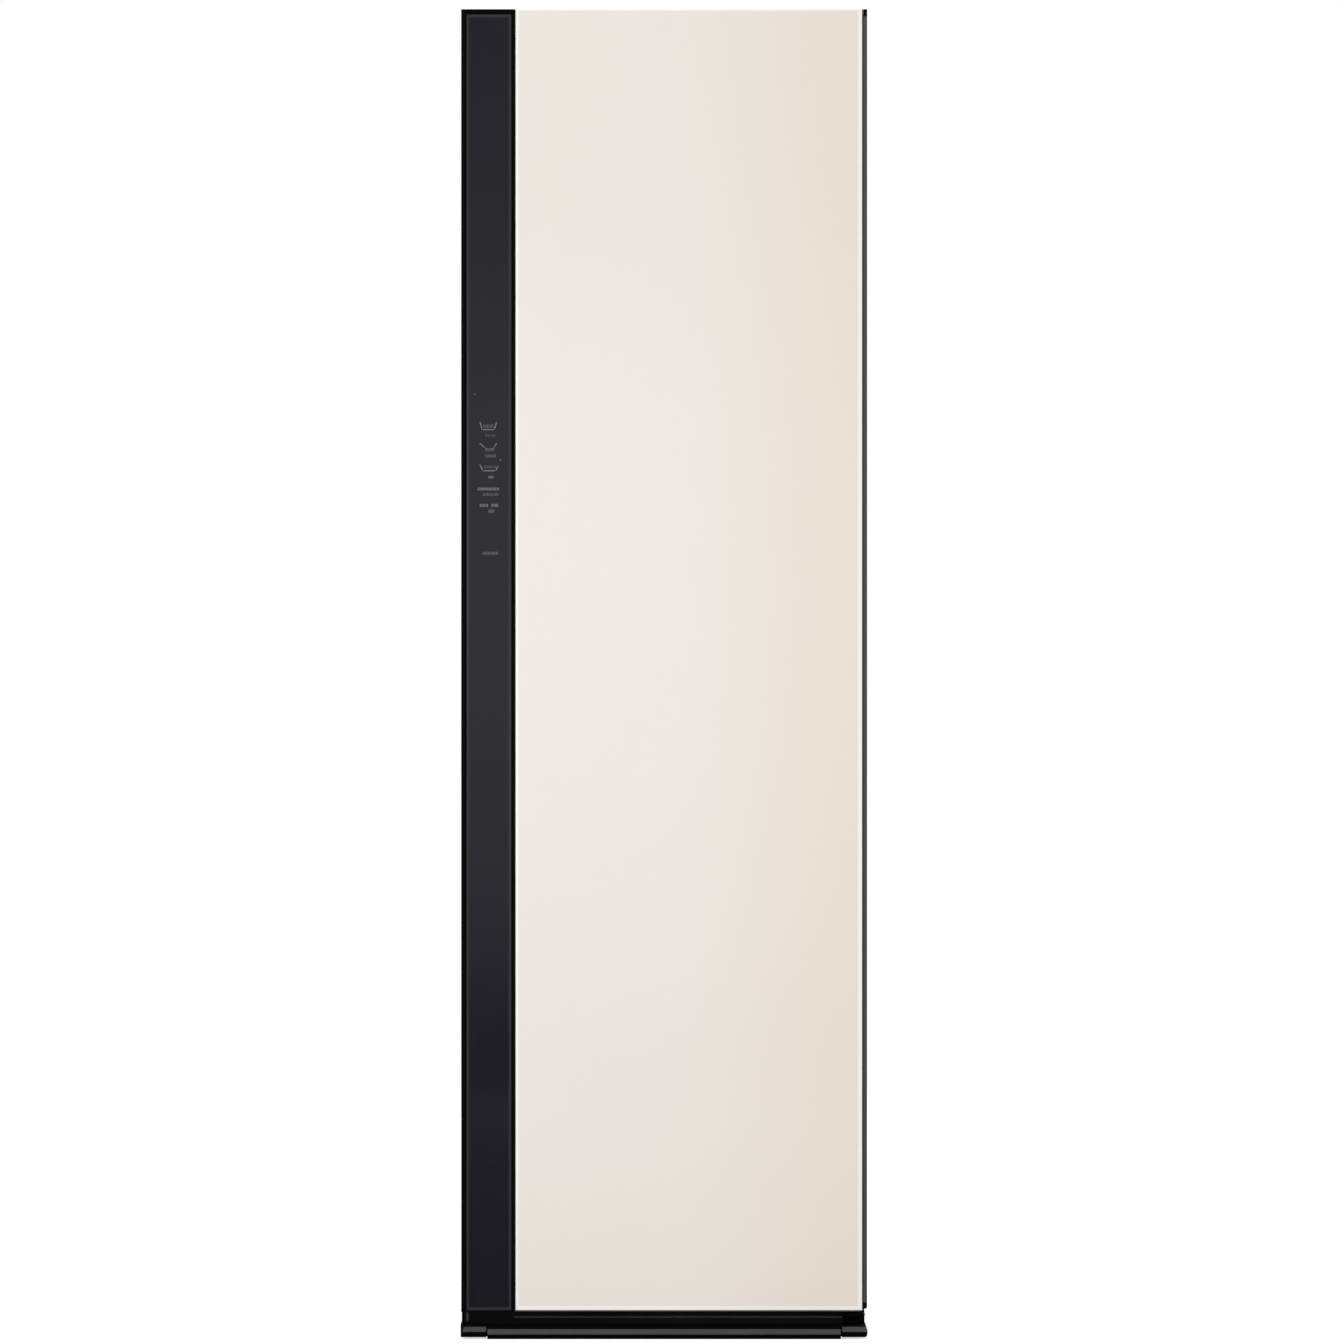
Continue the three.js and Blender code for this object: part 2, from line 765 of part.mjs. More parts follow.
function cassette(x, y, length, breadth, depth) {
  const flangeUnderZ = floorTopZ + seat;
  const flangeTopZ = flangeUnderZ + cassetteFlangeThickness;
  const bottomZ = floorUnderZ - depth;
  const flange = block(
    [x - cassetteFlange, x + length + cassetteFlange],
    [y - cassetteFlange, y + breadth + cassetteFlange],
    [flangeUnderZ, flangeTopZ],
  );
  const tray = block([x, x + length], [y, y + breadth], [bottomZ, flangeTopZ]);
  const hollow = block(
    [x + cassetteWall, x + length - cassetteWall],
    [y + cassetteWall, y + breadth - cassetteWall],
    [bottomZ + cassetteWall, flangeTopZ + overrun],
  );
  const bar = block(
    [x + length / 2 - gripBar / 2, x + length / 2 + gripBar / 2],
    [y, y + breadth],
    [flangeTopZ - cassetteFlangeThickness - gripBarDrop, flangeTopZ],
  );
  return join(cut(join(flange, tray), hollow), bar);
}

// A slatted shelf on four short legs
function shelf() {
  const half = chamberHalf - shelfSideGap;
  const shelfFrontY = bodyFrontY + shelfFrontGap;
  const shelfRearY = chamberRearY - shelfRearGap;
  const plateUnderZ = floorTopZ + shelfLegHeight;
  const plate = block([-half, half], [shelfFrontY, shelfRearY], [plateUnderZ, plateUnderZ + shelfThickness]);
  const pitch = (2 * half - 2 * shelfRim) / shelfSlots;
  const slots = [];
  for (let i = 0; i < shelfSlots; i += 1) {
    const x = -half + shelfRim + (i + 1 / 2) * pitch;
    const halfSlot = (pitch * shelfSlotShare) / 2;
    const zs = [plateUnderZ - overrun, plateUnderZ + shelfThickness + overrun];
    slots.push(block([x - halfSlot, x + halfSlot], [shelfFrontY + shelfRim, shelfRearY - shelfRim], zs));
  }
  const legs = [];
  for (const side of [-1, 1]) {
    for (const y of [shelfFrontY, shelfRearY - shelfLegSize]) {
      const xs = [side * (half - shelfLegSize), side * half];
      legs.push(block(xs, [y, y + shelfLegSize], [floorTopZ + seat, plateUnderZ + shelfThickness / 2]));
    }
  }
  return join(cut(plate, ...slots), ...legs);
}

function lampLens() {
  const lampY = bodyFrontY + lampSetback;
  return block(
    [-lampLength / 2, lampLength / 2],
    [lampY, lampY + lampBreadth],
    [ceilingZ - seat - lampThickness, ceilingZ - seat],
  );
}

function steamNozzle() {
  const y = chamberRearY - seat;
  const flange = rod(nozzleFlangeRadius, nozzleFlange, "y", [0, y - nozzleFlange, nozzleHeight], roundSteps);
  const tipLength = nozzleTip + nozzleFlange / 2;
  const tip = rod(nozzleTipRadius, tipLength, "y", [0, y - nozzleFlange - nozzleTip, nozzleHeight]);
  const boreLength = nozzleTip + nozzleFlange + 2 * overrun;
  const bore = rod(nozzleBore, boreLength, "y", [0, y - nozzleFlange - nozzleTip - overrun, nozzleHeight]);
  return cut(join(flange, tip), bore);
}

add("lint_filter", cassette(filterX, filterY, filterLength, filterBreadth, filterDepth), whitePlastic);
add("aroma_cassette", cassette(aromaX, aromaY, aromaSize, aromaSize, 0), whitePlastic);
add("shelf", shelf(), whitePlastic);
add("lamp_lens", lampLens(), lampPlastic);
add("steam_nozzle", steamNozzle(), whitePlastic);

// Hanger rack: a notched bar on two posts, hung from a carrier that slides on the bridge's ledges

function hangerRack() {
  const bar = block(
    [-rackLength / 2, rackLength / 2],
    [rackY - rackBreadth / 2, rackY + rackBreadth / 2],
    [rackTopZ - rackHeight, rackTopZ],
  );
  const notches = [];
  for (let i = 0; i < rackNotches; i += 1) {
    const x = (i - (rackNotches - 1) / 2) * notchPitch;
    const ys = [rackY - rackBreadth / 2 - overrun, rackY + rackBreadth / 2 + overrun];
    const zs = [rackTopZ - notchDepth, rackTopZ + overrun];
    notches.push(block([x - notchWidth / 2, x + notchWidth / 2], ys, zs));
  }
  const postUnderZ = rackTopZ - rackHeight / 2;
  const postTopZ = carrierUnderZ - carrierRib - seat;
  const posts = [-1, 1].map((side) =>
    rod(rackPostRadius, postTopZ - postUnderZ, "z", [side * rackPostX, rackY, postUnderZ]),
  );
  return join(cut(bar, ...notches), ...posts);
}

// The carrier plate, its guide rib between the ledges, and the cross slot that the crank pin drives
function rackCarrier() {
  const half = carrierLength / 2;
  const plateYs = [rackY - carrierHalf, rackY + carrierHalf];
  const plate = block([-half, half], plateYs, [carrierUnderZ, carrierTopZ]);
  const ribHalf = railGapHalf - carrierClear;
  const ribYs = [rackY - ribHalf, rackY + ribHalf];
  const rib = block([-half, half], ribYs, [carrierUnderZ - carrierRib, carrierTopZ]);
  const slotHalf = crankPinRadius + yokeSlotClear;
  const slotReach = rackStroke + crankPinRadius + yokeSlotClear;
  const slot = block(
    [-slotHalf, slotHalf],
    [rackY - slotReach, rackY + slotReach],
    [carrierUnderZ - carrierRib - overrun, carrierTopZ + overrun],
  );
  return cut(join(plate, rib), slot);
}

// The bridge: a steel channel upside down over the carrier, with a ledge inside each wall.
function driveBridge() {
  const xs = [-carrierLength / 2 - rackStroke, pulleySpacing + bridgeOverhang];
  const deck = block(xs, [rackY - bridgeInnerHalf - bridgeWall, rackY + bridgeInnerHalf + bridgeWall], [
    bridgeUnderZ,
    bridgeTopZ,
  ]);
  const pieces = [deck];
  for (const side of [-1, 1]) {
    const wallYs = [rackY + side * bridgeInnerHalf, rackY + side * (bridgeInnerHalf + bridgeWall)];
    pieces.push(block(xs, wallYs, [ceilingTopZ + seat, bridgeTopZ]));
    const ledgeYs = [rackY + side * railGapHalf, rackY + side * (bridgeInnerHalf + bridgeWall)];
    pieces.push(block(xs, ledgeYs, [ledgeTopZ - railThickness, ledgeTopZ]));
  }
  const holeLength = bridgeThickness + 2 * overrun;
  const crankHole = rod(crankShaftRadius + shaftClear, holeLength, "z", [0, rackY, bridgeUnderZ - overrun]);
  const motorHole = rod(motorShaftRadius + shaftClear, holeLength, "z", [
    pulleySpacing,
    rackY,
    bridgeUnderZ - overrun,
  ]);
  return cut(join(...pieces), crankHole, motorHole);
}

function crankPulley() {
  const disc = rod(crankRadius, crankThickness, "z", [0, rackY, crankUnderZ], roundSteps);
  const pinUnderZ = carrierTopZ + crankPinGap;
  const pinLength = crankUnderZ + crankThickness / 2 - pinUnderZ;
  const pin = rod(crankPinRadius, pinLength, "z", [rackStroke, rackY, pinUnderZ]);
  const shaftLength = bridgeTopZ + crankShaftRise - crankUnderZ;
  const shaft = rod(crankShaftRadius, shaftLength, "z", [0, rackY, crankUnderZ]);
  return join(disc, pin, shaft);
}

const beltUnderZ = crankUnderZ + (crankThickness - beltHeight) / 2;

function motorPulley() {
  const disc = rod(motorPulleyRadius, crankThickness, "z", [pulleySpacing, rackY, crankUnderZ], roundSteps);
  const shaftTopZ = bridgeTopZ + motorBoreDepth;
  const shaft = rod(motorShaftRadius, shaftTopZ - crankUnderZ, "z", [pulleySpacing, rackY, crankUnderZ]);
  return join(disc, shaft);
}

// The outline of a belt round both pulleys, at a distance outside them.
function beltOutline(distance) {
  const angle = Math.acos((crankRadius - motorPulleyRadius) / pulleySpacing);
  const outline = new THREE.Shape();
  outline.absarc(pulleySpacing, 0, motorPulleyRadius + distance, -angle, angle, false);
  outline.absarc(0, 0, crankRadius + distance, angle, 2 * Math.PI - angle, false);
  outline.closePath();
  return outline;
}

function driveBelt() {
  const outer = slab(beltOutline(seat + beltThickness), beltUnderZ, beltHeight);
  const inner = slab(beltOutline(seat), beltUnderZ - overrun, beltHeight + 2 * overrun);
  return cut(outer, inner).translate(0, rackY, 0);
}

function rackMotor() {
  const underZ = bridgeTopZ + seat;
  const can = rod(rackMotorRadius, rackMotorHeight, "z", [pulleySpacing, rackY, underZ], roundSteps);
  const bore = rod(motorShaftRadius + shaftClear, overrun + motorBoreDepth, "z", [
    pulleySpacing,
    rackY,
    underZ - overrun,
  ]);
  return cut(can, bore);
}

add("hanger_rack", hangerRack(), whitePlastic);
add("rack_carrier", rackCarrier(), whitePlastic);
add("drive_bridge", driveBridge(), zincSteel);
add("crank_pulley", crankPulley(), whitePlastic);
add("motor_pulley", motorPulley(), whitePlastic);
add("drive_belt", driveBelt(), rubber);
add("rack_motor", rackMotor(), zincSteel);

// Heat pump: two finned coils, the compressor and the fan

const machineFloorZ = deckZ + seat;

function coil(frontFaceY) {
  const leftX = -chamberHalf + coilSide;
  const xs = [leftX, leftX + coilWidth];
  const ys = [frontFaceY, frontFaceY + coilDepth];
  const pieces = [
    block(xs, ys, [machineFloorZ, machineFloorZ + coilPlate]),
    block(xs, ys, [machineFloorZ + coilHeight - coilPlate, machineFloorZ + coilHeight]),
  ];
  const pitch = (coilWidth - coilFinThickness) / (coilFins - 1);
  for (let i = 0; i < coilFins; i += 1) {
    const x = leftX + i * pitch;
    pieces.push(block([x, x + coilFinThickness], ys, [machineFloorZ, machineFloorZ + coilHeight]));
  }
  return join(...pieces);
}

function compressor() {
  const x = compressorSide;
  const y = chamberRearY - compressorRear;
  const plateUnderZ = machineFloorZ + grommetHeight;
  const canUnderZ = plateUnderZ + compressorPlate / 2;
  const canHeight = compressorHeight - grommetHeight - compressorPlate / 2;
  const profile = [
    new THREE.Vector2(0, 0),
    new THREE.Vector2(compressorRadius, 0),
    new THREE.Vector2(compressorRadius, canHeight - compressorDome),
    new THREE.Vector2(compressorRadius * Math.cos(Math.PI / 6), canHeight - compressorDome / 2),
    new THREE.Vector2(compressorRadius / 2, canHeight - compressorDome / 8),
    new THREE.Vector2(0, canHeight),
  ];
  const can = new THREE.LatheGeometry(profile, roundSteps).rotateX(Math.PI / 2).translate(x, y, canUnderZ);
  const halfX = compressorPlateWidth / 2;
  const halfY = compressorPlateDepth / 2;
  const plateZs = [plateUnderZ, plateUnderZ + compressorPlate];
  const plate = block([x - halfX, x + halfX], [y - halfY, y + halfY], plateZs);
  const grommets = [];
  for (const sideX of [-1, 1]) {
    for (const sideY of [-1, 1]) {
      const centre = [x + sideX * (halfX - grommetInset), y + sideY * (halfY - grommetInset), machineFloorZ];
      grommets.push(rod(grommetRadius, grommetHeight + compressorPlate / 2, "z", centre));
    }
  }
  return join(can, plate, ...grommets);
}

// The fan's case: a spiral that widens towards a straight outlet under the chamber floor's slots.
function scrollOutline(extra) {
  const outline = new THREE.Shape();
  for (let i = 0; i <= scrollSteps; i += 1) {
    const turn = (i / scrollSteps) * 2 * Math.PI;
    const gap = scrollGapSmall + ((scrollGapLarge - scrollGapSmall) * i) / scrollSteps;
    const reach = impellerRadius + gap + extra;
    const [px, py] = [reach * Math.cos(turn), reach * Math.sin(turn)];
    if (i === 0) outline.moveTo(px, py);
    else outline.lineTo(px, py);
  }
  outline.closePath();
  return outline;
}

// Stands a slab made in X and Y up on the fan's axis, from y backwards.
function onFanAxis(geometry, y) {
  return geometry.rotateX(Math.PI / 2).translate(-fanSide, y, fanZ);
}

function fanHousing() {
  const outletHalf = (ventSlots * ventPitch) / 2;
  const outletInnerHalf = outletHalf - scrollWall;
  const rearY = fanY + fanHousingDepth;
  const innerYs = [fanY + scrollWall, rearY - scrollWall];
  const outerScroll = onFanAxis(slab(scrollOutline(scrollWall), 0, fanHousingDepth), rearY);
  const innerScroll = onFanAxis(slab(scrollOutline(0), 0, innerYs[1] - innerYs[0]), innerYs[1]);
  const outer = block([-fanSide - outletHalf, -fanSide + outletHalf], [fanY, rearY], [
    fanZ + impellerRadius / 2,
    floorUnderZ - seat,
  ]);
  const inner = block([-fanSide - outletInnerHalf, -fanSide + outletInnerHalf], innerYs, [
    fanZ + impellerRadius / 2 + scrollWall,
    floorUnderZ + overrun,
  ]);
  const inlet = rod(impellerRadius * inletShare, scrollWall + 2 * overrun, "y", [
    -fanSide,
    fanY - overrun,
    fanZ,
  ], roundSteps);
  const shaftHole = rod(motorShaftRadius + shaftClear, scrollWall + 2 * overrun, "y", [
    -fanSide,
    innerYs[1] - overrun,
    fanZ,
  ]);
  return cut(join(outerScroll, outer), innerScroll, inner, inlet, shaftHole);
}

function fanImpeller() {
  const backFaceY = fanY + fanHousingDepth - scrollWall - scrollSideGap;
  const frontFaceY = backFaceY - impellerWidth;
  const disc = rod(impellerRadius, impellerDisc, "y", [-fanSide, backFaceY - impellerDisc, fanZ], roundSteps);
  const ringRod = rod(impellerRadius, impellerDisc, "y", [-fanSide, frontFaceY, fanZ], roundSteps);
  const ringBore = rod(impellerRadius - impellerBladeDepth, impellerDisc + 2 * overrun, "y", [
    -fanSide,
    frontFaceY - overrun,
    fanZ,
  ], roundSteps);
  const pieces = [disc, cut(ringRod, ringBore)];
  for (let i = 0; i < impellerBlades; i += 1) {
    const outerReach = impellerRadius * Math.cos(Math.PI / roundSteps) - impellerBlade;
    const blade = block(
      [outerReach - impellerBladeDepth, outerReach],
      [frontFaceY, backFaceY],
      [-impellerBlade / 2, impellerBlade / 2],
    );
    pieces.push(blade.rotateY((i / impellerBlades) * 2 * Math.PI).translate(-fanSide, 0, fanZ));
  }
  const hub = rod(impellerHubRadius, impellerWidth / 2, "y", [-fanSide, backFaceY - impellerWidth / 2, fanZ]);
  const shaftLength = impellerWidth / 2 + scrollSideGap + scrollWall + motorBoreDepth;
  const shaft = rod(motorShaftRadius, shaftLength, "y", [-fanSide, backFaceY - impellerWidth / 2, fanZ]);
  return join(...pieces, hub, shaft);
}

function fanMotor() {
  const y = fanY + fanHousingDepth + seat;
  const can = rod(fanMotorRadius, fanMotorLength, "y", [-fanSide, y, fanZ], roundSteps);
  const bore = rod(motorShaftRadius + shaftClear, overrun + motorBoreDepth + seat, "y", [
    -fanSide,
    y - overrun,
    fanZ,
  ]);
  return cut(can, bore);
}

// Steam generator: a boiler box with a flanged lid and an outlet stub.
function steamGenerator() {
  const xs = [generatorSide, generatorSide + generatorWidth];
  const y = bodyFrontY + liner + generatorSetback;
  const ys = [y, y + generatorDepth];
  const bodyTopZ = machineFloorZ + generatorHeight;
  const body = block(xs, ys, [machineFloorZ, bodyTopZ]);
  const lid = block(shrink(xs, -generatorLidOverhang), shrink(ys, -generatorLidOverhang), [
    bodyTopZ - generatorLid / 2,
    bodyTopZ + generatorLid / 2,
  ]);
  const port = rod(generatorPortRadius, generatorLid / 2 + generatorPortHeight, "z", [
    generatorSide + generatorWidth / 2,
    y + generatorDepth / 2,
    bodyTopZ,
  ]);
  return join(body, lid, port);
}

// Control box: a flat case with a raised ridge for its terminals.
function controlBox() {
  const xs = [-chamberHalf + boxSide, -chamberHalf + boxSide + boxWidth];
  const y = chamberRearY - boxRear + boxDepth;
  const body = block(xs, [y, y + boxDepth], [machineFloorZ, machineFloorZ + boxHeight]);
  const ridge = block(shrink(xs, boxRidgeInset), [y - boxRidge, y + boxDepth / 2], [
    machineFloorZ,
    machineFloorZ + boxHeight / 2,
  ]);
  return join(body, ridge);
}

const firstCoilY = bodyFrontY + liner + coilSetback;

add("evaporator", coil(firstCoilY), aluminium);
add("condenser", coil(firstCoilY + coilDepth + coilSpacing), aluminium);
add("compressor", compressor(), copperSteel);
add("fan_housing", fanHousing(), greyPlastic);
add("fan_impeller", fanImpeller(), blackPlastic);
add("fan_motor", fanMotor(), zincSteel);
add("steam_generator", steamGenerator(), whitePlastic);
add("control_box", controlBox(), whitePlastic);

// Door: two glasses on a frame of two stiles and two rails, with a liner sunk in the rear

const glassZs = [doorBottomZ, cabinetHeight];
const lipInner = doorHalf - lipWidth;
const seamX = -halfWidth + controlWidth;

function doorGlass() {
  return block([seamX + glassSeam / 2, lipInner - seat], [frontY, frontY + glassThickness], glassZs);
}

function controlGlass() {
  return block([-lipInner + seat, seamX - glassSeam / 2], [frontY, frontY + glassThickness], glassZs);
}

function lipBox(side, extra = 0) {
  return block(
    [side * (lipInner - extra), side * (doorHalf + (extra ? overrun : 0))],
    [frontY - (extra ? overrun : 0), frontY + lipDepth + extra],
    shrink(glassZs, -extra),
  );
}

function stile(side) {
  const zs = [doorBottomZ + railHeight + seat, cabinetHeight - railHeight - seat];
  const bar = block([side * stileInner, side * doorHalf], [frameFrontY, doorRearY], zs);
  return join(bar, lipBox(side));
}

function stileWithGrip() {
  const pocket = block(
    [-doorHalf - overrun, -doorHalf + gripDepth],
    [frontY + gripSetback, frontY + gripSetback + gripBreadth],
    [gripCentreHeight - gripLength / 2, gripCentreHeight + gripLength / 2],
  );
  const boardBed = block(
    [boardLeftX - seat, -stileInner + overrun],
    [frameFrontY - overrun, frameFrontY + boardRecess],
    [boardCentreHeight - boardHeight / 2 - seat, boardCentreHeight + boardHeight / 2 + seat],
  );
  return cut(stile(-1), pocket, boardBed);
}

const boardLeftX = (seamX - lipInner) / 2 - boardWidth / 2;

function touchBoard() {
  return block(
    [boardLeftX, boardLeftX + boardWidth],
    [frameFrontY, frameFrontY + boardThickness],
    [boardCentreHeight - boardHeight / 2, boardCentreHeight + boardHeight / 2],
  );
}

// Each rail is notched for the stiles' front lips and bored for its hinge pin.
const hingeBoreDepth = hingePinLength + hingeBoreExtra;

function bottomRail() {
  const bar = block([-doorHalf, doorHalf], [frameFrontY, doorRearY], [doorBottomZ, doorBottomZ + railHeight]);
  const boreStart = [hingeX, hingeY, doorBottomZ - overrun];
  const bore = rod(hingePinRadius + seat, overrun + hingeBoreDepth, "z", boreStart);
  return cut(bar, lipBox(-1, seat), lipBox(1, seat), bore);
}

const notchFloorZ = shellTopZ - hingeCollarHeight;

// The top rail is also notched at the hinge corner, so that the bracket's arm sits below the door's top.
function topRail() {
  const barZs = [cabinetHeight - railHeight, cabinetHeight];
  const bar = block([-doorHalf, doorHalf], [frameFrontY, doorRearY], barZs);
  const notch = block(
    [hingeX - hingeArmHalf - hingeNotchSide, doorHalf + overrun],
    [frameFrontY - overrun, doorRearY + overrun],
    [notchFloorZ, cabinetHeight + overrun],
  );
  const bore = rod(hingePinRadius + seat, overrun + hingePinLength - hingeCollarHeight, "z", [
    hingeX,
    hingeY,
    notchFloorZ - hingePinLength + hingeCollarHeight,
  ]);
  return cut(bar, lipBox(-1, seat), lipBox(1, seat), notch, bore);
}

function doorLiner() {
  const half = stileInner - seat;
  return block([-half, half], [doorLinerRearY - doorLinerThickness, doorLinerRearY], [
    doorBottomZ + railHeight + seat,
    cabinetHeight - railHeight - seat,
  ]);
}

function doorGasket() {
  const outerHalf = halfWidth - gasketInset;
  const ys = [doorRearY + seat, bodyFrontY - seat];
  const zs = [doorBottomZ + gasketBottomInset, shellTopZ - gasketTopInset];
  const outer = block([-outerHalf, outerHalf], ys, zs);
  const innerHalfWidth = outerHalf - gasketWidth;
  const inner = block([-innerHalfWidth, innerHalfWidth], shrink(ys, -overrun), shrink(zs, gasketWidth));
  return cut(outer, inner);
}

add("door_glass", doorGlass(), beigeGlass);
add("control_glass", controlGlass(), blackGlass);
add("door_stile_grip", stileWithGrip(), doorMetal);
add("door_stile_hinge", stile(1), doorMetal);
add("door_rail_top", topRail(), greyPlastic);
add("door_rail_bottom", bottomRail(), greyPlastic);
add("door_liner", doorLiner(), linerPlastic);
add("door_gasket", doorGasket(), rubber);
add("touch_board", touchBoard(), boardGreen);

// Hinges

// Top hinge: a foot on the cabinet's top, an arm over the door's notch, and a pin down into the rail.
function topHinge() {
  const zs = [shellTopZ + seat, hingePlateTopZ];
  const footY = bodyFrontY + hingeFootSetback;
  const outerX = halfWidth - hingeCoverWall - hingeCoverClear;
  const foot = block([outerX - hingeFootWidth, outerX], [footY, footY + hingeFootLength], zs);
  const arm = block([hingeX - hingeArmHalf, hingeX + hingeArmHalf], [hingeY, footY + hingeFootSetback], zs);
  const eye = rod(hingeArmHalf, hingePlate, "z", [hingeX, hingeY, zs[0]], roundSteps);
  const pin = rod(hingePinRadius, hingePinLength + hingePlate / 2, "z", [
    hingeX,
    hingeY,
    zs[0] - hingePinLength,
  ]);
  return join(foot, arm, eye, pin);
}

// Bottom hinge: an angle on the tray's front, a collar that the door rests on, and a pin up into the rail.
function bottomHinge() {
  const plateTopZ = doorBottomZ - seat - hingeCollarHeight;
  const xs = [hingeX - hingeTabHalf, hingeX + hingeTabHalf];
  const rearY = trayFrontY - seat;
  const plate = block(xs, [hingeY - hingeTabHalf, rearY], [plateTopZ - hingePlate, plateTopZ]);
  const tab = block(xs, [rearY - hingePlate, rearY], [skirtTopZ + seat, plateTopZ]);
  const collar = rod(hingeCollarRadius, hingeCollarHeight + hingePlate / 2, "z", [
    hingeX,
    hingeY,
    plateTopZ - hingePlate / 2,
  ]);
  const pinStart = [hingeX, hingeY, plateTopZ - hingePlate / 2];
  const pin = rod(hingePinRadius, hingePinLength + hingePlate, "z", pinStart);
  return join(plate, tab, collar, pin);
}

function hingeCover() {
  const rightX = halfWidth - seat;
  const footY = bodyFrontY + hingeFootSetback;
  const leftX = halfWidth - 2 * (hingeCoverWall + hingeCoverClear) - hingeFootWidth;
  const rearY = footY + hingeFootLength + hingeCoverClear + hingeCoverWall;
  const underZ = shellTopZ + seat;
  const shell = block([leftX, rightX], [bodyFrontY + seat, rearY], [underZ, underZ + hingeCoverHeight]);
  const hollow = block(
    shrink([leftX, halfWidth], hingeCoverWall),
    [bodyFrontY - overrun, rearY - hingeCoverWall],
    [underZ - overrun, hingePlateTopZ + seat],
  );
  return cut(shell, hollow);
}

add("hinge_top", topHinge(), darkSteel);
add("hinge_bottom", bottomHinge(), darkSteel);
add("hinge_cover", hingeCover(), blackPlastic);

// Trouser press on the door's liner

const pressZs = [pressBottomHeight, pressBottomHeight + pressHeight];
const pressHalf = pressWidth / 2;

// The knuckles of one leaf: every other one, with the gap between turning knuckles.
function knuckles(leaf, webYs) {
  const span = pressHeight - 2 * pressMarginZ - pressKnuckleLength;
  const middle = (pressKnuckles - 1) / 2;
  const pieces = [];
  for (let i = leaf; i < pressKnuckles; i += 2) {
    const centreZ = (pressZs[0] + pressZs[1]) / 2 + ((i - middle) * span) / (pressKnuckles - 1);
    const lowZ = centreZ - pressKnuckleLength / 2;
    pieces.push(rod(pressKnuckleRadius, pressKnuckleLength, "z", [pressAxisX, pressAxisY, lowZ]));
    pieces.push(block([pressHalf - pressWeb, pressAxisX], webYs, [lowZ, lowZ + pressKnuckleLength]));
  }
  return pieces;
}

function pinBore() {
  const start = [pressAxisX, pressAxisY, pressZs[0] - overrun];
  return rod(pressPinRadius + seat, pressHeight + 2 * overrun, "z", start);
}

function pressBackboard() {
  const board = block([-pressHalf, pressHalf], [doorLinerRearY + seat, pressBoardFaceY], pressZs);
  const webs = [pressAxisY - pressKnuckleRadius, pressAxisY - pressGap / 2];
  return cut(join(board, ...knuckles(0, webs)), pinBore());
}

function pressPanel() {
  const board = block([-pressHalf, pressHalf], [pressPanelY, pressPanelY + pressPanelThickness], pressZs);
  const webs = [pressAxisY + pressGap / 2, pressAxisY + pressKnuckleRadius];
  return cut(join(board, ...knuckles(1, webs)), pinBore());
}

function pressPin() {
  const length = pressHeight - 2 * pressMarginZ;
  return rod(pressPinRadius, length, "z", [pressAxisX, pressAxisY, pressZs[0] + pressMarginZ]);
}

const flapAxleY = doorLinerRearY + seat + trouserRailDepth + flapAxleOut;
const flapAxleZ = trouserZ + trouserRailHeight + earRise;

function trouserRail() {
  const half = trouserRailWidth / 2;
  const rearY = doorLinerRearY + seat + trouserRailDepth;
  const barZs = [trouserZ, trouserZ + trouserRailHeight];
  const pieces = [block([-half, half], [doorLinerRearY + seat, rearY], barZs)];
  const bores = [];
  for (const side of [-1, 1]) {
    const earXs = [side * (half - earThickness), side * half];
    const earStart = Math.min(...earXs);
    pieces.push(block(earXs, [rearY - trouserRailDepth / 2, flapAxleY], [
      trouserZ + trouserRailHeight - earRise,
      flapAxleZ + earRadius,
    ]));
    pieces.push(rod(earRadius, earThickness, "x", [earStart, flapAxleY, flapAxleZ]));
    const boreStart = [earStart - overrun, flapAxleY, flapAxleZ];
    bores.push(rod(flapAxleRadius + seat, earThickness + 2 * overrun, "x", boreStart));
  }
  return cut(join(...pieces), ...bores);
}

// The flap hangs from its axle between the ears; its jaw presses the cloth on the rail.
function trouserClamp() {
  const half = trouserRailWidth / 2 - earThickness - flapSideGap;
  const railRearY = doorLinerRearY + seat + trouserRailDepth;
  const axleHalf = trouserRailWidth / 2;
  const lowZ = flapAxleZ - flapHeight;
  const axle = rod(flapAxleRadius, 2 * axleHalf, "x", [-axleHalf, flapAxleY, flapAxleZ]);
  const plateYs = [flapAxleY, flapAxleY + flapThickness];
  const plate = block([-half, half], plateYs, [lowZ, flapAxleZ + flapAxleRadius]);
  const jaw = block([-half, half], [railRearY + seat, flapAxleY + flapThickness], [lowZ, lowZ + jawHeight]);
  return join(axle, plate, jaw);
}

add("press_backboard", pressBackboard(), pressFelt);
add("press_panel", pressPanel(), whitePlastic);
add("press_pin", pressPin(), zincSteel);
add("trouser_rail", trouserRail(), whitePlastic);
add("trouser_clamp", trouserClamp(), greyPlastic);

export default cabinet;
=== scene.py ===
# %% [markdown]
# # A clothes care steam cabinet
#
# The cabinet is a tall steel box with a glass-fronted door, a black touch strip down one side and a black
# base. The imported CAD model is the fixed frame: every piece below goes where that frame says, in metres.
# This file dresses it: rounded edges, pressed sheet, louvres, screws, seals, ribs, and a procedural finish
# on every surface. Each step first says what the real piece is, then how it is made.

# %% Load the frame
import json
from math import cos, pi, radians, sin

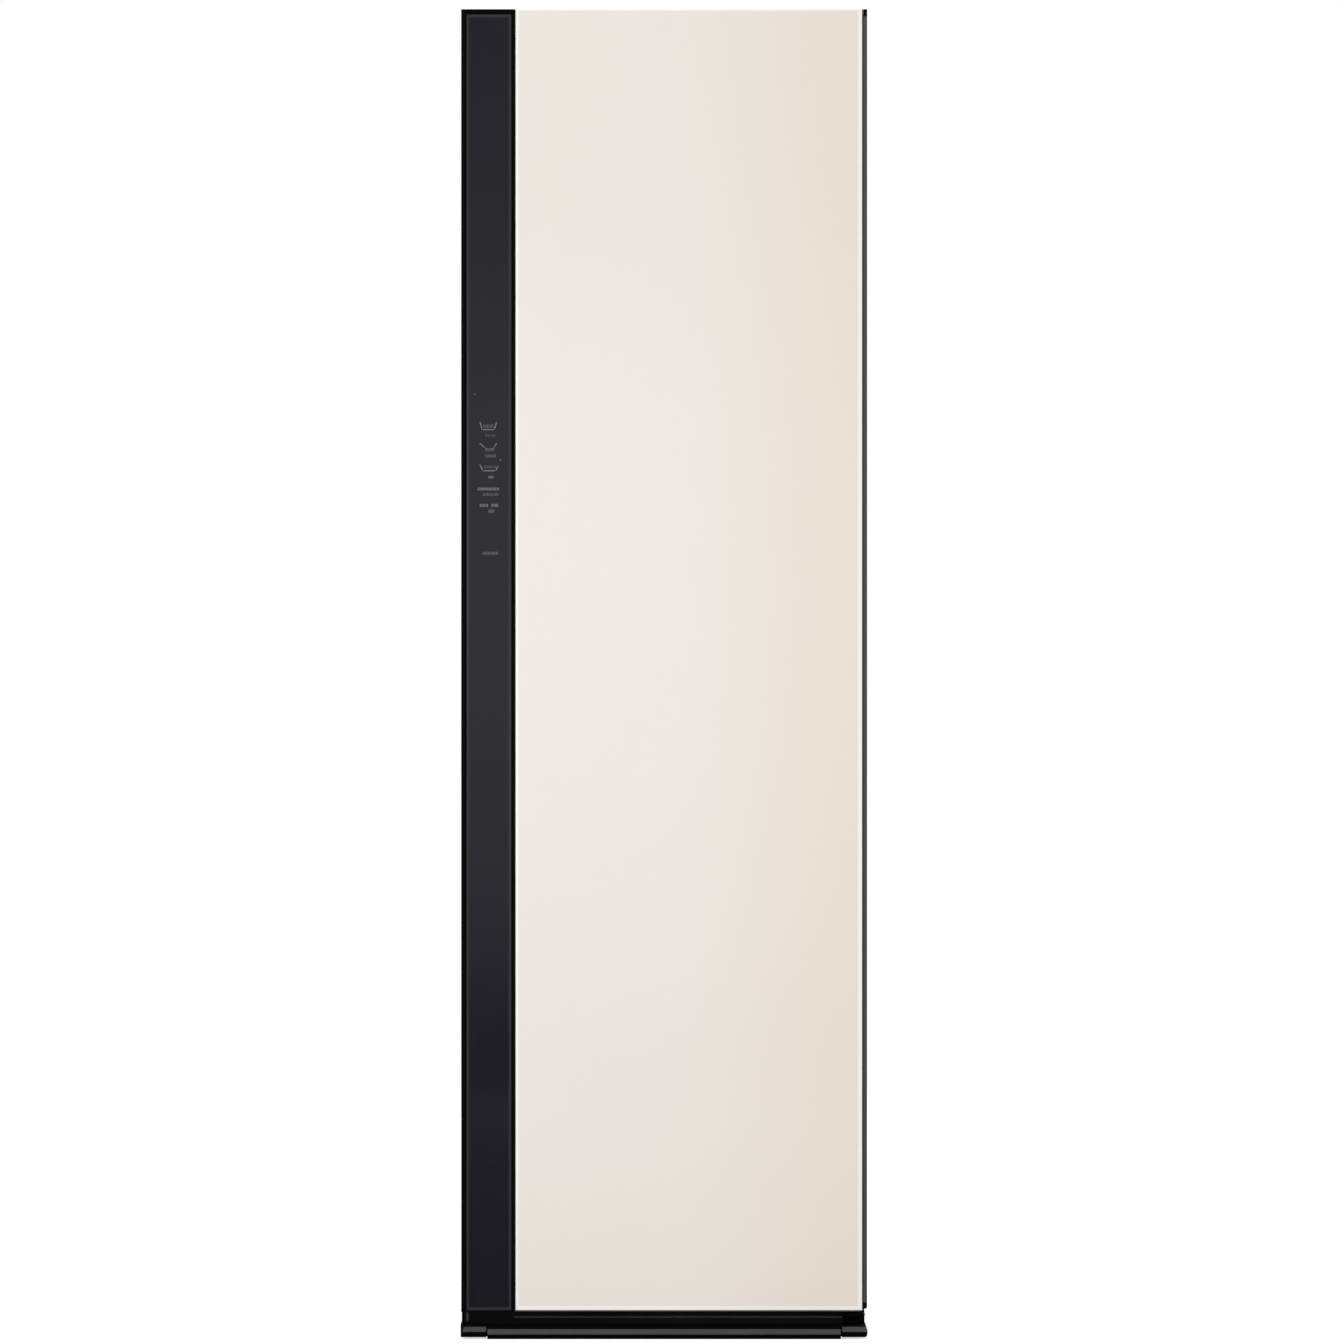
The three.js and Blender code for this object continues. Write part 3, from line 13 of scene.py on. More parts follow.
import bmesh
import bpy
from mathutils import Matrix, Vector


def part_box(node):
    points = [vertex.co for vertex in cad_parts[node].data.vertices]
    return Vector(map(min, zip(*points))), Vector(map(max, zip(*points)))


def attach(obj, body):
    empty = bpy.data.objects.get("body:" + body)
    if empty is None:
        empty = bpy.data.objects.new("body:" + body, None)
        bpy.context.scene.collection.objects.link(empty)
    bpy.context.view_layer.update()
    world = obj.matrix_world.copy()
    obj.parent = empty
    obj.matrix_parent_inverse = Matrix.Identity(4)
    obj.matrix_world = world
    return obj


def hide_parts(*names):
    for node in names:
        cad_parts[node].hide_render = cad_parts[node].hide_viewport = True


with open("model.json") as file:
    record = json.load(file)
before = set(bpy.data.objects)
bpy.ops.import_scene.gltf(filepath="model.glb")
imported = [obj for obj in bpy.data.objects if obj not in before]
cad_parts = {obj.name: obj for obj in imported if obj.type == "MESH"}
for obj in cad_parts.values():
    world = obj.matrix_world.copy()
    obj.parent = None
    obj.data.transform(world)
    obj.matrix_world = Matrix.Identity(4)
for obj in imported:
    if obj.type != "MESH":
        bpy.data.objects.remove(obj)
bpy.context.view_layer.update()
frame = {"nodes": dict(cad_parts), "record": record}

scene = bpy.context.scene
nodes = frame["nodes"]
home = {name: body for body, names in frame["record"]["behaviour"]["bodies"].items() for name in names}
slot_of = {part["node"]: part["material_slot"] for part in frame["record"]["subparts"]}

# %% [markdown]
# ## Camera
#
# A product photograph of a tall appliance is taken from far away with a long lens, so that its sides stay
# parallel. A 200 mm lens about eleven metres in front of the door shows 1.98 m across at the door's glass.

# %% Camera
MM = 0.001
lens = bpy.data.cameras.new("studio_camera")
lens.lens, lens.sensor_width, lens.clip_end = 200, 36, 200
camera = bpy.data.objects.new("studio_camera", lens)
camera.location, camera.rotation_euler = (0.01158, -11.296, 0.98366), (radians(90), 0, 0)
scene.collection.objects.link(camera)
scene.camera = camera
scene.view_settings.view_transform = "Standard"

# %% [markdown]
# ## Shader node groups
#
# An effect that several finishes share is one node group with named inputs. A group only puts out masks and
# heights; the shader itself stays in each material. All patterns read Object coordinates, which are metres
# on the cabinet, because every object sits at the origin.

# %% Node helpers
class Net:
    """A node tree being drawn up."""

    def __init__(self, tree):
        self.tree = tree

    def add(self, kind, links=None, **settings):
        """A new node's outputs. links gives its inputs by name or number: a socket, or a plain value."""
        made = self.tree.nodes.new(kind if "Node" in kind else self.tree.bl_idname[:-4] + kind)
        for key, value in settings.items():
            setattr(made, key, value)
        for key, value in (links or {}).items():
            if isinstance(value, bpy.types.NodeSocket):
                self.tree.links.new(value, made.inputs[key])
            else:
                made.inputs[key].default_value = value
        return made.outputs

    def give(self, **sockets):
        """Puts sockets out of a group."""
        for label, socket in sockets.items():
            self.tree.links.new(socket, self.out[label.replace("_", " ")])

    def maths(self, operation, *values):
        return self.add("ShaderNodeMath", dict(enumerate(values)), operation=operation)[0]

    def times(self, first, second):
        return self.maths("MULTIPLY", first, second)

    def span(self, value, low, high, to_low=0.0, to_high=1.0):
        """A soft step: value from low to high becomes to_low to to_high."""
        links = {"Value": value, "From Min": low, "From Max": high, "To Min": to_low, "To Max": to_high}
        return self.add("MapRange", links, interpolation_type="SMOOTHSTEP")[0]

    def place(self, axis=None):
        """Object coordinates, or the one along an axis."""
        place = self.add("TexCoord")["Object"]
        return self.add("SeparateXYZ", {0: place})[axis] if axis else place

    def noise(self, scale, detail=2.0, stretch=None, roughness=0.5):
        """Noise on Object coordinates, stretched along the axes."""
        place = self.place()
        if stretch:
            place = self.add("Mapping", {"Vector": place, "Scale": stretch})[0]
        links = {"Vector": place, "Scale": scale, "Detail": detail, "Roughness": roughness}
        return self.add("TexNoise", links)[0]


def new_group(name, inputs, *outputs, kind="Shader"):
    """An empty group with inputs {label: value}; a word instead of a value is the socket's kind."""
    net = Net(bpy.data.node_groups.new(name, kind + "NodeTree"))
    kinds = {float: "Float", int: "Int", tuple: "Vector"}
    for label, value in inputs.items():
        sort = value if isinstance(value, str) else kinds[type(value)]
        socket = net.tree.interface.new_socket(label, in_out="INPUT", socket_type="NodeSocket" + sort)
        if sort != value:
            socket.default_value = value
    sort = "Float" if kind == "Shader" else kind
    for label in outputs:
        net.tree.interface.new_socket(label, in_out="OUTPUT", socket_type="NodeSocket" + sort)
    net.ends = net.add("NodeGroupInput")
    net.out = net.tree.nodes.new("NodeGroupOutput").inputs
    return net


# %% Moulded grain: fine pebbled skin and slow cloudiness of a plastic moulding
moulded_grain = net = new_group("moulded_grain", {"Scale": 1400.0}, "Height", "Cloud")
net.give(Height=net.span(net.noise(net.ends["Scale"], 3.0), 0.35, 0.65),
         Cloud=net.span(net.noise(7.0, 3.0), 0.3, 0.7))

# %% Orange peel: the soft waviness of powder coat and enamel
orange_peel = net = new_group("orange_peel", {"Scale": 420.0}, "Height", "Cloud")
net.give(Height=net.noise(net.ends["Scale"], 1.0), Cloud=net.span(net.noise(3.5, 4.0), 0.3, 0.7))

# %% Edge wear: where a bevelled normal leaves the true one, the edge has been rubbed
edge_wear = net = new_group("edge_wear", {"Width": 0.0015, "Break up": 60.0}, "Mask")
soft = net.add("Bevel", {"Radius": net.ends["Width"]}, samples=4)[0]
true = net.add("NewGeometry")["Normal"]
match = net.add("VectorMath", {0: soft, 1: true}, operation="DOT_PRODUCT")["Value"]
patchy = net.span(net.noise(net.ends["Break up"], 4.0), 0.38, 0.62)
net.give(Mask=net.times(net.span(match, 0.99, 0.72), patchy))

# %% Settled dust: lies on faces that look up, thicker in some places
settled_dust = net = new_group("settled_dust", {"Amount": 0.5, "Scale": 18.0}, "Mask")
upward = net.add("SeparateXYZ", {0: net.add("NewGeometry")["Normal"]})["Z"]
drift = net.span(net.noise(net.ends["Scale"], 6.0, roughness=0.65), 0.3, 0.75)
lying = net.times(net.span(upward, 0.5, 1.0), drift)
net.give(Mask=net.times(net.ends["Amount"], lying))

# %% Hand smudges: faint greasy patches that change how a glossy face reflects
hand_smudges = net = new_group("hand_smudges", {"Scale": 9.0, "Amount": 1.0}, "Mask")
patch = net.span(net.noise(net.ends["Scale"], 5.0, roughness=0.7), 0.5, 0.72)
streak = net.span(net.noise(60.0, 3.0, (1, 1, 0.25)), 0.35, 0.7)
net.give(Mask=net.times(net.times(patch, streak), net.ends["Amount"]))

# %% Drawn lines: the fine lines that rolling, brushing or extrusion leaves along one axis
drawn_lines = net = new_group("drawn_lines", {"Scale": 900.0}, "Along Z", "Along X")
net.give(Along_Z=net.noise(net.ends["Scale"], 3.0, (1, 1, 0.01)),
         Along_X=net.noise(net.ends["Scale"], 3.0, (0.01, 1, 1)))

# %% Zinc spangle: the flat crystals of hot-dip zinc, each with its own brightness
zinc_spangle = net = new_group("zinc_spangle", {"Scale": 110.0}, "Crystal", "Height")
where = net.place()
ragged = net.add("TexNoise", {"Vector": where, "Scale": 160.0, "Detail": 2.0})["Color"]
pushed = net.add("Mix", {0: 0.006, 4: where, 5: ragged}, data_type="VECTOR")[1]
cells = net.add("TexVoronoi", {"Vector": pushed, "Scale": net.ends["Scale"]})
net.give(Crystal=net.add("SeparateColor", {0: cells["Color"]})[0], Height=cells["Distance"])
print("shader groups:", ", ".join(g.name for g in bpy.data.node_groups))

# %% [markdown]
# ## Finishes
#
# A finish starts as a Principled shader with plain values and then takes layers: `tint` mixes a colour in
# where a mask says so, `roughen` moves the roughness, `emboss` adds a bump. Colours are written as they look
# on screen, from 0 to 1, a grey as one number, and turned into the linear values that Blender works in.

# %% Finish helper
def linear(colour):
    shades = colour if isinstance(colour, tuple) else (colour,) * 3
    return [c / 12.92 if c <= 0.04045 else ((c + 0.055) / 1.055) ** 2.4 for c in shades] + [1.0]


class Finish(Net):
    """A material under construction. Each layer is fed from the one before it."""

    def __init__(self, name, colour, roughness, **plain):
        self.material = bpy.data.materials.new(name)
        self.material.use_nodes = True
        self.material.diffuse_color = linear(colour)
        super().__init__(self.material.node_tree)
        self.shader = self.tree.nodes["Principled BSDF"].inputs
        for label, value in ({"Base_Color": linear(colour), "Roughness": roughness} | plain).items():
            self.shader[label.replace("_", " ")].default_value = value

    def group(self, effect, **values):
        """A shared effect's outputs, with its inputs set."""
        links = {label.replace("_", " "): value for label, value in values.items()}
        return self.add("Group", links, node_tree=effect.tree)

    def feed(self, label, mask, value, amount):
        """Mixes value into the socket where mask is 1, as far as amount."""
        socket = self.shader[label]
        strength = self.times(mask, amount)
        kind, first, second, result = ("RGBA", 6, 7, 2) if label == "Base Color" else ("FLOAT", 2, 3, 0)
        before = socket.links[0].from_socket if socket.is_linked else socket.default_value
        mixed = self.add("Mix", {0: strength, first: before, second: value}, data_type=kind)
        self.tree.links.new(mixed[result], socket)

    def tint(self, mask, colour, amount=1.0):
        self.feed("Base Color", mask, linear(colour), amount)

    def mottle(self, scale, detail, low, high, colour, amount):
        """Mixes a colour in where a noise goes from low to high."""
        self.tint(self.span(self.noise(scale, detail), low, high), colour, amount)

    def layer(self, effect, colour, amount, **values):
        """Mixes a colour in where a shared effect's mask says so."""
        self.tint(self.group(effect, **values)["Mask"], colour, amount)

    def roughen(self, mask, roughness, amount=1.0):
        self.feed("Roughness", mask, roughness, amount)

    def emboss(self, height, strength, distance):
        socket = self.shader["Normal"]
        links = {"Strength": strength, "Distance": distance, "Height": height}
        if socket.is_linked:
            links["Normal"] = socket.links[0].from_socket
        self.tree.links.new(self.add("Bump", links)[0], socket)


# %% [markdown]
# ### Glass
#
# Both front panes are clear glass printed on their back: what shows is the print under a gloss. Hand
# smudges change the gloss a little. The ground edges are painted paler, a painted highlight; the outer part
# of the beige pane's right edge is painted darker, a painted shade, and the beige print is painted darker
# towards the hinge side, also a painted shade.

# %% Front glass finishes
def printed_glass(name, colour, cloud, hinge_side=None):
    pane = Finish(name, colour, 0.06, Specular_IOR_Level=0.25)
    pane.mottle(1.1, 2.0, 0.3, 0.7, cloud, 0.5)
    # towards the hinge side the print is painted darker: painted shade
    if hinge_side:
        pane.tint(pane.span(pane.place("X"), 0.0, 0.3), hinge_side)
    pane.roughen(pane.group(hand_smudges, Scale=5.0)["Mask"], 0.2, 0.6)
    pane.emboss(pane.noise(4.0, 1.0), 0.06, 0.002)
    return pane


# the last colour is the painted shade towards the hinge side
beige_glass = printed_glass("beige_printed_glass", (0.922, 0.893, 0.87), (0.912, 0.884, 0.85),
                            (0.9, 0.865, 0.82))
# the ground edges' finishes are paler than the face: painted highlights
beige_edge_highlight = printed_glass("beige_glass_ground_edge", (0.975, 0.96, 0.935), (0.96, 0.945, 0.915),
                           (0.94, 0.925, 0.895))
# the outer part of the beige pane's right edge: painted shade
beige_turn_shade = printed_glass("beige_glass_edge_turn", (0.34, 0.335, 0.33), (0.3, 0.295, 0.29))
black_glass = printed_glass("black_printed_glass", (0.03, 0.028, 0.085), (0.02, 0.018, 0.06))
# the touch pane's ground edge is paler: painted highlight
black_edge_highlight = printed_glass("black_glass_ground_edge", (0.17, 0.17, 0.19), (0.14, 0.14, 0.16))

# %% [markdown]
# ### Painted steel, zinc-coated steel and anodised aluminium

# %% Metal finishes
side_coat = Finish("dark_powder_coat", (0.165, 0.165, 0.178), 0.46)
peel = side_coat.group(orange_peel, Scale=520.0)
side_coat.emboss(peel["Height"], 0.25, 0.0006)
side_coat.tint(peel["Cloud"], (0.185, 0.185, 0.2), 0.5)
side_coat.roughen(peel["Cloud"], 0.36, 0.5)
side_coat.layer(edge_wear, (0.36, 0.36, 0.38), 0.55, Width=0.002)
side_coat.layer(settled_dust, (0.42, 0.41, 0.4), 0.5, Amount=0.35)

zinc_sheet = Finish("zinc_coated_sheet", (0.6, 0.61, 0.62), 0.42, Metallic=0.75)
crystal = zinc_sheet.group(zinc_spangle)["Crystal"]
zinc_sheet.tint(crystal, (0.7, 0.71, 0.72), 0.4)
zinc_sheet.roughen(crystal, 0.34, 0.6)
zinc_sheet.emboss(zinc_sheet.group(drawn_lines)["Along Z"], 0.12, 0.0004)
zinc_sheet.layer(edge_wear, (0.85, 0.85, 0.86), 0.6, Width=0.0014)
zinc_sheet.layer(settled_dust, (0.5, 0.48, 0.45), 0.7, Amount=0.6)

plated_screw = Finish("plated_screw", (0.62, 0.62, 0.6), 0.3, Metallic=1.0)
plated_screw.mottle(300.0, 3.0, 0.35, 0.7, (0.45, 0.44, 0.4), 0.7)
plated_screw.roughen(plated_screw.group(orange_peel, Scale=900.0)["Height"], 0.5, 0.5)
black_screw = Finish("blacked_screw", (0.06, 0.06, 0.065), 0.4, Metallic=0.6)
black_screw.layer(edge_wear, (0.3, 0.3, 0.31), 0.5, Width=0.0006)
black_screw.roughen(black_screw.noise(500.0), 0.6, 0.5)


def anodised(name, colour, lighter, roughness, rubbed, **plain):
    stile = Finish(name, colour, roughness, **plain)
    stile.emboss(stile.group(drawn_lines, Scale=1200.0)["Along Z"], 0.2, 0.0004)
    stile.tint(stile.group(drawn_lines, Scale=500.0)["Along Z"], lighter, 0.35)
    stile.layer(edge_wear, rubbed, 0.5, Width=0.0012, Break_up=25.0)
    return stile


dark_anodised = anodised("dark_anodised_aluminium", (0.27, 0.27, 0.26), (0.32, 0.32, 0.31), 0.36, 0.5,
                         Metallic=0.55)
black_anodised = anodised("black_anodised_aluminium", 0.015, 0.03, 0.5, 0.1, Specular_IOR_Level=0.06)

# %% [markdown]
# ### Moulded plastics, rubber and the smaller finishes

# %% Plastic finishes
def moulded(name, colour, cloud, roughness, depth, dust=None, wear=None, **plain):
    """Satin injection moulding: grain, slow cloudiness and, if asked, dust and rubbed edges."""
    skin = Finish(name, colour, roughness, **plain)
    grain = skin.group(moulded_grain)
    skin.tint(grain["Cloud"], cloud, 0.6)
    skin.roughen(grain["Cloud"], roughness * 0.8, 0.6)
    skin.emboss(grain["Height"], depth, 0.0002)
    if wear:
        skin.layer(edge_wear, wear, 0.5, Width=0.0016)
    if dust:
        skin.layer(settled_dust, (0.6, 0.58, 0.55), 0.8, Amount=dust)
    return skin


black_plastic = moulded("black_satin_plastic", (0.045, 0.042, 0.04), (0.06, 0.057, 0.054), 0.5, 0.4,
                        dust=0.25, wear=0.15, Specular_IOR_Level=0.2)
matt_black = moulded("matt_black_plastic", 0.02, 0.03, 0.8, 0.4, Specular_IOR_Level=0.05)
# the base tray's black, darker and duller than the other black plastic: painted shade under the door
shaded_base_black = moulded("base_black_plastic", (0.038, 0.036, 0.034), (0.05, 0.048, 0.045), 0.6, 0.4,
                     Specular_IOR_Level=0.15)
# black plastic painted much paler, a painted highlight, with settled dust and worn edges on top
painted_highlight_black = moulded("rubbed_black_plastic", (0.27, 0.27, 0.275), (0.24, 0.24, 0.245), 0.5, 0.4,
                       dust=0.2, wear=0.42, Specular_IOR_Level=0.3)
grey_plastic = moulded("grey_satin_plastic", (0.25, 0.25, 0.252), 0.28, 0.48, 0.35, dust=0.3, wear=0.42)
liner_plastic = moulded("liner_satin_plastic", (0.83, 0.82, 0.8), (0.8, 0.79, 0.765), 0.42, 0.2)
white_plastic = moulded("white_satin_plastic", (0.89, 0.885, 0.87), (0.87, 0.86, 0.84), 0.38, 0.2)
soft_rubber = moulded("soft_rubber", 0.1, (0.13, 0.13, 0.128), 0.75, 0.5, dust=0.4, Sheen_Weight=0.3)
circuit_board = moulded("green_solder_mask", (0.08, 0.25, 0.16), (0.06, 0.2, 0.12), 0.35, 0.3)
tank_plastic = moulded("smoked_tank_plastic", (0.62, 0.66, 0.69), (0.56, 0.6, 0.64), 0.16, 0.08,
                       Transmission_Weight=0.72)
frosted_lens = moulded("frosted_lamp_lens", (0.97, 0.96, 0.93), (0.93, 0.92, 0.88), 0.45, 0.35,
                       Subsurface_Weight=0.2, Subsurface_Scale=0.01)

press_felt = Finish("flocked_press_face", (0.72, 0.7, 0.67), 0.9, Sheen_Weight=0.5, Sheen_Roughness=0.4)
fibre = press_felt.noise(1500.0, 4.0, roughness=0.7)
press_felt.tint(press_felt.span(fibre, 0.35, 0.65), (0.62, 0.6, 0.57), 0.8)
press_felt.mottle(26.0, 5.0, 0.3, 0.75, (0.75, 0.735, 0.71), 0.3)
press_felt.emboss(fibre, 0.6, 0.0006)

coil_fins = Finish("raw_fin_aluminium", (0.75, 0.76, 0.77), 0.32, Metallic=0.9)
coil_fins.emboss(coil_fins.group(drawn_lines)["Along X"], 0.2, 0.0003)
coil_fins.mottle(30.0, 4.0, 0.4, 0.7, 0.62, 0.7)
gloss_enamel = Finish("black_gloss_enamel", (0.07, 0.072, 0.078), 0.2, Coat_Weight=0.5)
gloss_enamel.emboss(gloss_enamel.group(orange_peel)["Height"], 0.3, 0.0006)
gloss_enamel.layer(settled_dust, (0.5, 0.48, 0.45), 0.7)

by_slot = dict(
    black_plastic=black_plastic, grey_plastic=grey_plastic, dark_steel=side_coat, zinc_steel=zinc_sheet,
    door_metal=dark_anodised, liner_plastic=liner_plastic, white_plastic=white_plastic,
    tank_plastic=tank_plastic, rubber=soft_rubber, lamp_plastic=frosted_lens, coil_aluminium=coil_fins,
    compressor_steel=gloss_enamel, board=circuit_board, press_board=press_felt, beige_glass=beige_glass,
    black_glass=black_glass,
)


def coat(obj, *finishes):
    for finish in finishes:
        obj.data.materials.append(finish.material)


for name, cad in nodes.items():
    cad.data.materials.clear()
    coat(cad, by_slot[slot_of[name]])
print(len(bpy.data.materials), "finishes")

# %% [markdown]
# ## Making a piece
#
# A piece has its place in its points. Its edges are rounded by a Bevel modifier that is turned into plain
# mesh at once, its sharp corners stay sharp, and it rides on the body of the CAD node that it dresses.

# %% Mesh helpers
def bake(obj):
    """Turns an object's modifiers into plain mesh."""
    shape = bpy.data.meshes.new_from_object(obj.evaluated_get(bpy.context.evaluated_depsgraph_get()))
    obj.modifiers.clear()
    obj.data = shape
    shape.name = obj.name


def dress(obj, node_name, *stands_for, finish=None, slot=None):
    """Rides on the node's body, takes the given finish, or its slot's finish if it has none yet, and stands
    for the nodes named after it.
    """
    body = home[node_name]
    slot = slot or slot_of[node_name]
    if finish or not obj.data.materials:
        obj.data.materials.clear()
        coat(obj, finish or by_slot[slot])
    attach(obj, body)
    if stands_for:
        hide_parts(*stands_for)
    return obj


def new_object(name, data):
    obj = bpy.data.objects.new(name, data)
    scene.collection.objects.link(obj)
    return obj


def fill(shape, bm):
    """Puts a bmesh into a smooth mesh, with doubles merged and every face outwards."""
    bmesh.ops.remove_doubles(bm, verts=bm.verts, dist=1e-6)
    bmesh.ops.recalc_face_normals(bm, faces=bm.faces)
    bm.to_mesh(shape)
    bm.free()
    shape.shade_smooth()


def solid(name, bm, edge=0.0, sharp=38, hold=32):
    """An object from a bmesh in metres, its edges rounded by edge millimetres."""
    shape = bpy.data.meshes.new(name)
    fill(shape, bm)
    obj = new_object(name, shape)
    if edge:
        bevel = obj.modifiers.new("rounded_edges", "BEVEL")
        bevel.width, bevel.segments = edge * MM, 2
        bevel.limit_method, bevel.angle_limit = "ANGLE", radians(hold)
        bevel.harden_normals = True
        bake(obj)
    else:
        shape.set_sharp_from_angle(angle=radians(sharp))
    return obj


def rounded(node_name, edge, finish=None, reshape=None):
    """A CAD node's own shape, cleared of needless lines, reshaped if asked, with rounded edges."""
    bm = bmesh.new()
    bm.from_mesh(nodes[node_name].data)
    bmesh.ops.remove_doubles(bm, verts=bm.verts, dist=2e-5)
    bmesh.ops.dissolve_limit(bm, angle_limit=radians(0.6), verts=bm.verts, edges=bm.edges)
    if reshape:
        reshape(bm)
    obj = solid("shown_" + node_name, bm, edge)
    obj.data.materials.clear()
    return dress(obj, node_name, node_name, finish=finish)


def box_mm(node_name):
    low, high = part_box(node_name)
    return [c / MM for c in low], [c / MM for c in high]


def metres(place):
    return [c * MM for c in place]


def spot(bm, *place):
    """A vertex at a place in millimetres."""
    return bm.verts.new(metres(place))


def oblong(bm, x0, x1, z0, z1, y):
    """A ring of four vertices round an upright rectangle."""
    return [spot(bm, x, y, z) for x, z in ((x0, z0), (x1, z0), (x1, z1), (x0, z1))]


def band(bm, a, b):
    """The faces between two rings of vertices."""
    return [bm.faces.new((a[i - 1], a[i], b[i], b[i - 1])) for i in range(len(a))]


def cut_across(bm, place, normal):
    whole = bm.verts[:] + bm.edges[:] + bm.faces[:]
    bmesh.ops.bisect_plane(bm, geom=whole, plane_co=place, plane_no=normal)


def cut_corner(bm):
    """Cuts back the door frame's lower corner at the hinge, 10 mm wide and 7.5 mm high."""
    cut_across(bm, (0.289, 0, 0), (1, 0, 0))
    for v in bm.verts:
        v.co.z = max(v.co.z, 0.041 + 0.0075 * min(max((v.co.x - 0.289) / 0.01, 0), 1))


# %% Every piece whose CAD form only needs its edges rounded
simple_edges = dict(
    side_panel_left=0.5, side_panel_right=0.5, power_inlet=0.7, door_rail_top=1.0, hinge_top=0.5,
    hinge_cover=2.5, liner_left=0.4, liner_right=0.4, liner_ceiling=0.8, liner_floor=0.8, tank_tray=1.0,
    supply_tank=2.0, drain_tank=2.0, supply_tank_lid=1.2, drain_tank_lid=1.2, lint_filter=0.8,
    aroma_cassette=0.8, shelf=1.2, steam_nozzle=1.0, hanger_rack=1.2, rack_carrier=0.8, press_backboard=0.8,
    trouser_rail=1.0, trouser_clamp=1.0,
)
for name, edge in simple_edges.items():
    rounded(name, edge)
rounded("door_stile_grip", 0.7, black_anodised)
rounded("door_rail_bottom", 1.0, reshape=cut_corner)


def cut_stile(bm):
    """Room for the black plugs in both ends of the hinge stile."""
    cut_corner(bm)
    for z in plug_zs:
        cut_across(bm, (0, 0, z), (0, 0, 1))


plug_zs = (0.055, 1.9495)
stile = rounded("door_stile_hinge", 0.7, reshape=cut_stile)
coat(stile, matt_black)
for face in stile.data.polygons:
    face.material_index = 0 if plug_zs[0] < face.center.z < plug_zs[1] else 1
# the lower hinge in matt black and the tray in the darker black: painted shade under the door
rounded("hinge_bottom", 0.5, matt_black)
rounded("base_frame", 0.7, shaded_base_black)
print(len(simple_edges) + 5, "pieces rounded")

# %% [markdown]
# ## The two front panes
#
# Each pane is 4 mm glass whose front edge is ground to a shallow round. Rings of points, each a little
# further in and forward, make that edge, and its width differs from side to side as on the real door.

# %% Ground-edge panes
# each ring: its share of the edge's width, and how far back it lies; 1 is the pane's back
ground_steps = [(0.0, 1.0), (0.0, 0.55), (0.06, 0.3), (0.2, 0.12), (0.45, 0.03), (0.75, 0.004), (1.0, 0.0)]


def ground_pane(name, sides, y_front, widths, depth, *finishes):
    """widths are the ground edge's at the left, right, bottom and top, in millimetres. The finishes are the
    face's, the edge's, painted paler as a highlight, and that of the outer, steeper part of the right edge,
    which on the beige pane is painted darker as a shade."""
    x0, x1, z0, z1 = sides
    bm = bmesh.new()
    rings = []
    for share, back in ground_steps:
        left, right, bottom, top = [w * share for w in widths]
        y = back_y if back == 1.0 else y_front + depth * back / 0.55
        rings.append(oblong(bm, x0 + left, x1 - right, z0 + bottom, z1 - top, y))
    for step, (outer, inner) in enumerate(zip(rings, rings[1:])):
        for i in range(4):
            face = bm.faces.new((outer[i], outer[i - 1], inner[i - 1], inner[i]))
            # the outer part of the right edge takes the third finish, on the beige pane a painted shade
            face.material_index = 2 if i == 2 and step < 3 else 1
    bm.faces.new(rings[-1])
    bm.faces.new(rings[0])
    obj = solid(name, bm, sharp=50)
    coat(obj, *finishes)
    return obj


low, high = box_mm("door_glass")
front_y, back_y = low[1], high[1]
beige_pane = ground_pane("beige_pane", (low[0] + 0.8, high[0], low[2] + 2.4, high[2]), front_y,
                         (4.6, 7.6, 6.5, 2.4), 1.4, beige_glass, beige_edge_highlight, beige_turn_shade)
dress(beige_pane, "door_glass", "door_glass")
low, high = box_mm("control_glass")
sides = low[0] + 1.8, high[0] - 4.8, low[2] + 2.1, high[2] - 7.6
control_pane = ground_pane("control_pane", sides, front_y + 0.05, (3.6, 3.6, 5.0, 4.4), 1.2, black_glass,
                           black_edge_highlight, black_edge_highlight)
dress(control_pane, "control_glass")
print("front panes", [round(c, 1) for c in low], [round(c, 1) for c in high])

# %% [markdown]
# The touch pane sits in a matt black carrier that shows as a dark line on three sides.

# %% Carrier behind the touch pane
gap = 0.15
bm = bmesh.new()
outer = (low[0], high[0], low[2], high[2])
inner = [side + step for side, step in zip(sides, (-gap, gap, -gap, gap))]
rings = [oblong(bm, *edges, y) for edges in (outer, inner) for y in (front_y + 0.7, back_y)]
for a, b in ((0, 1), (2, 3), (0, 2), (1, 3)):
    band(bm, rings[a], rings[b])
dress(solid("control_carrier", bm, 0.1), "control_glass", "control_glass", finish=matt_black)

# %% [markdown]
# ### Touch marks
#
# The touch pane carries a column of small grey marks in its upper half. They are printed, so each is a few
# flat strokes a hair thick. Plain signs stand above rows of short upright ticks, which spell nothing.

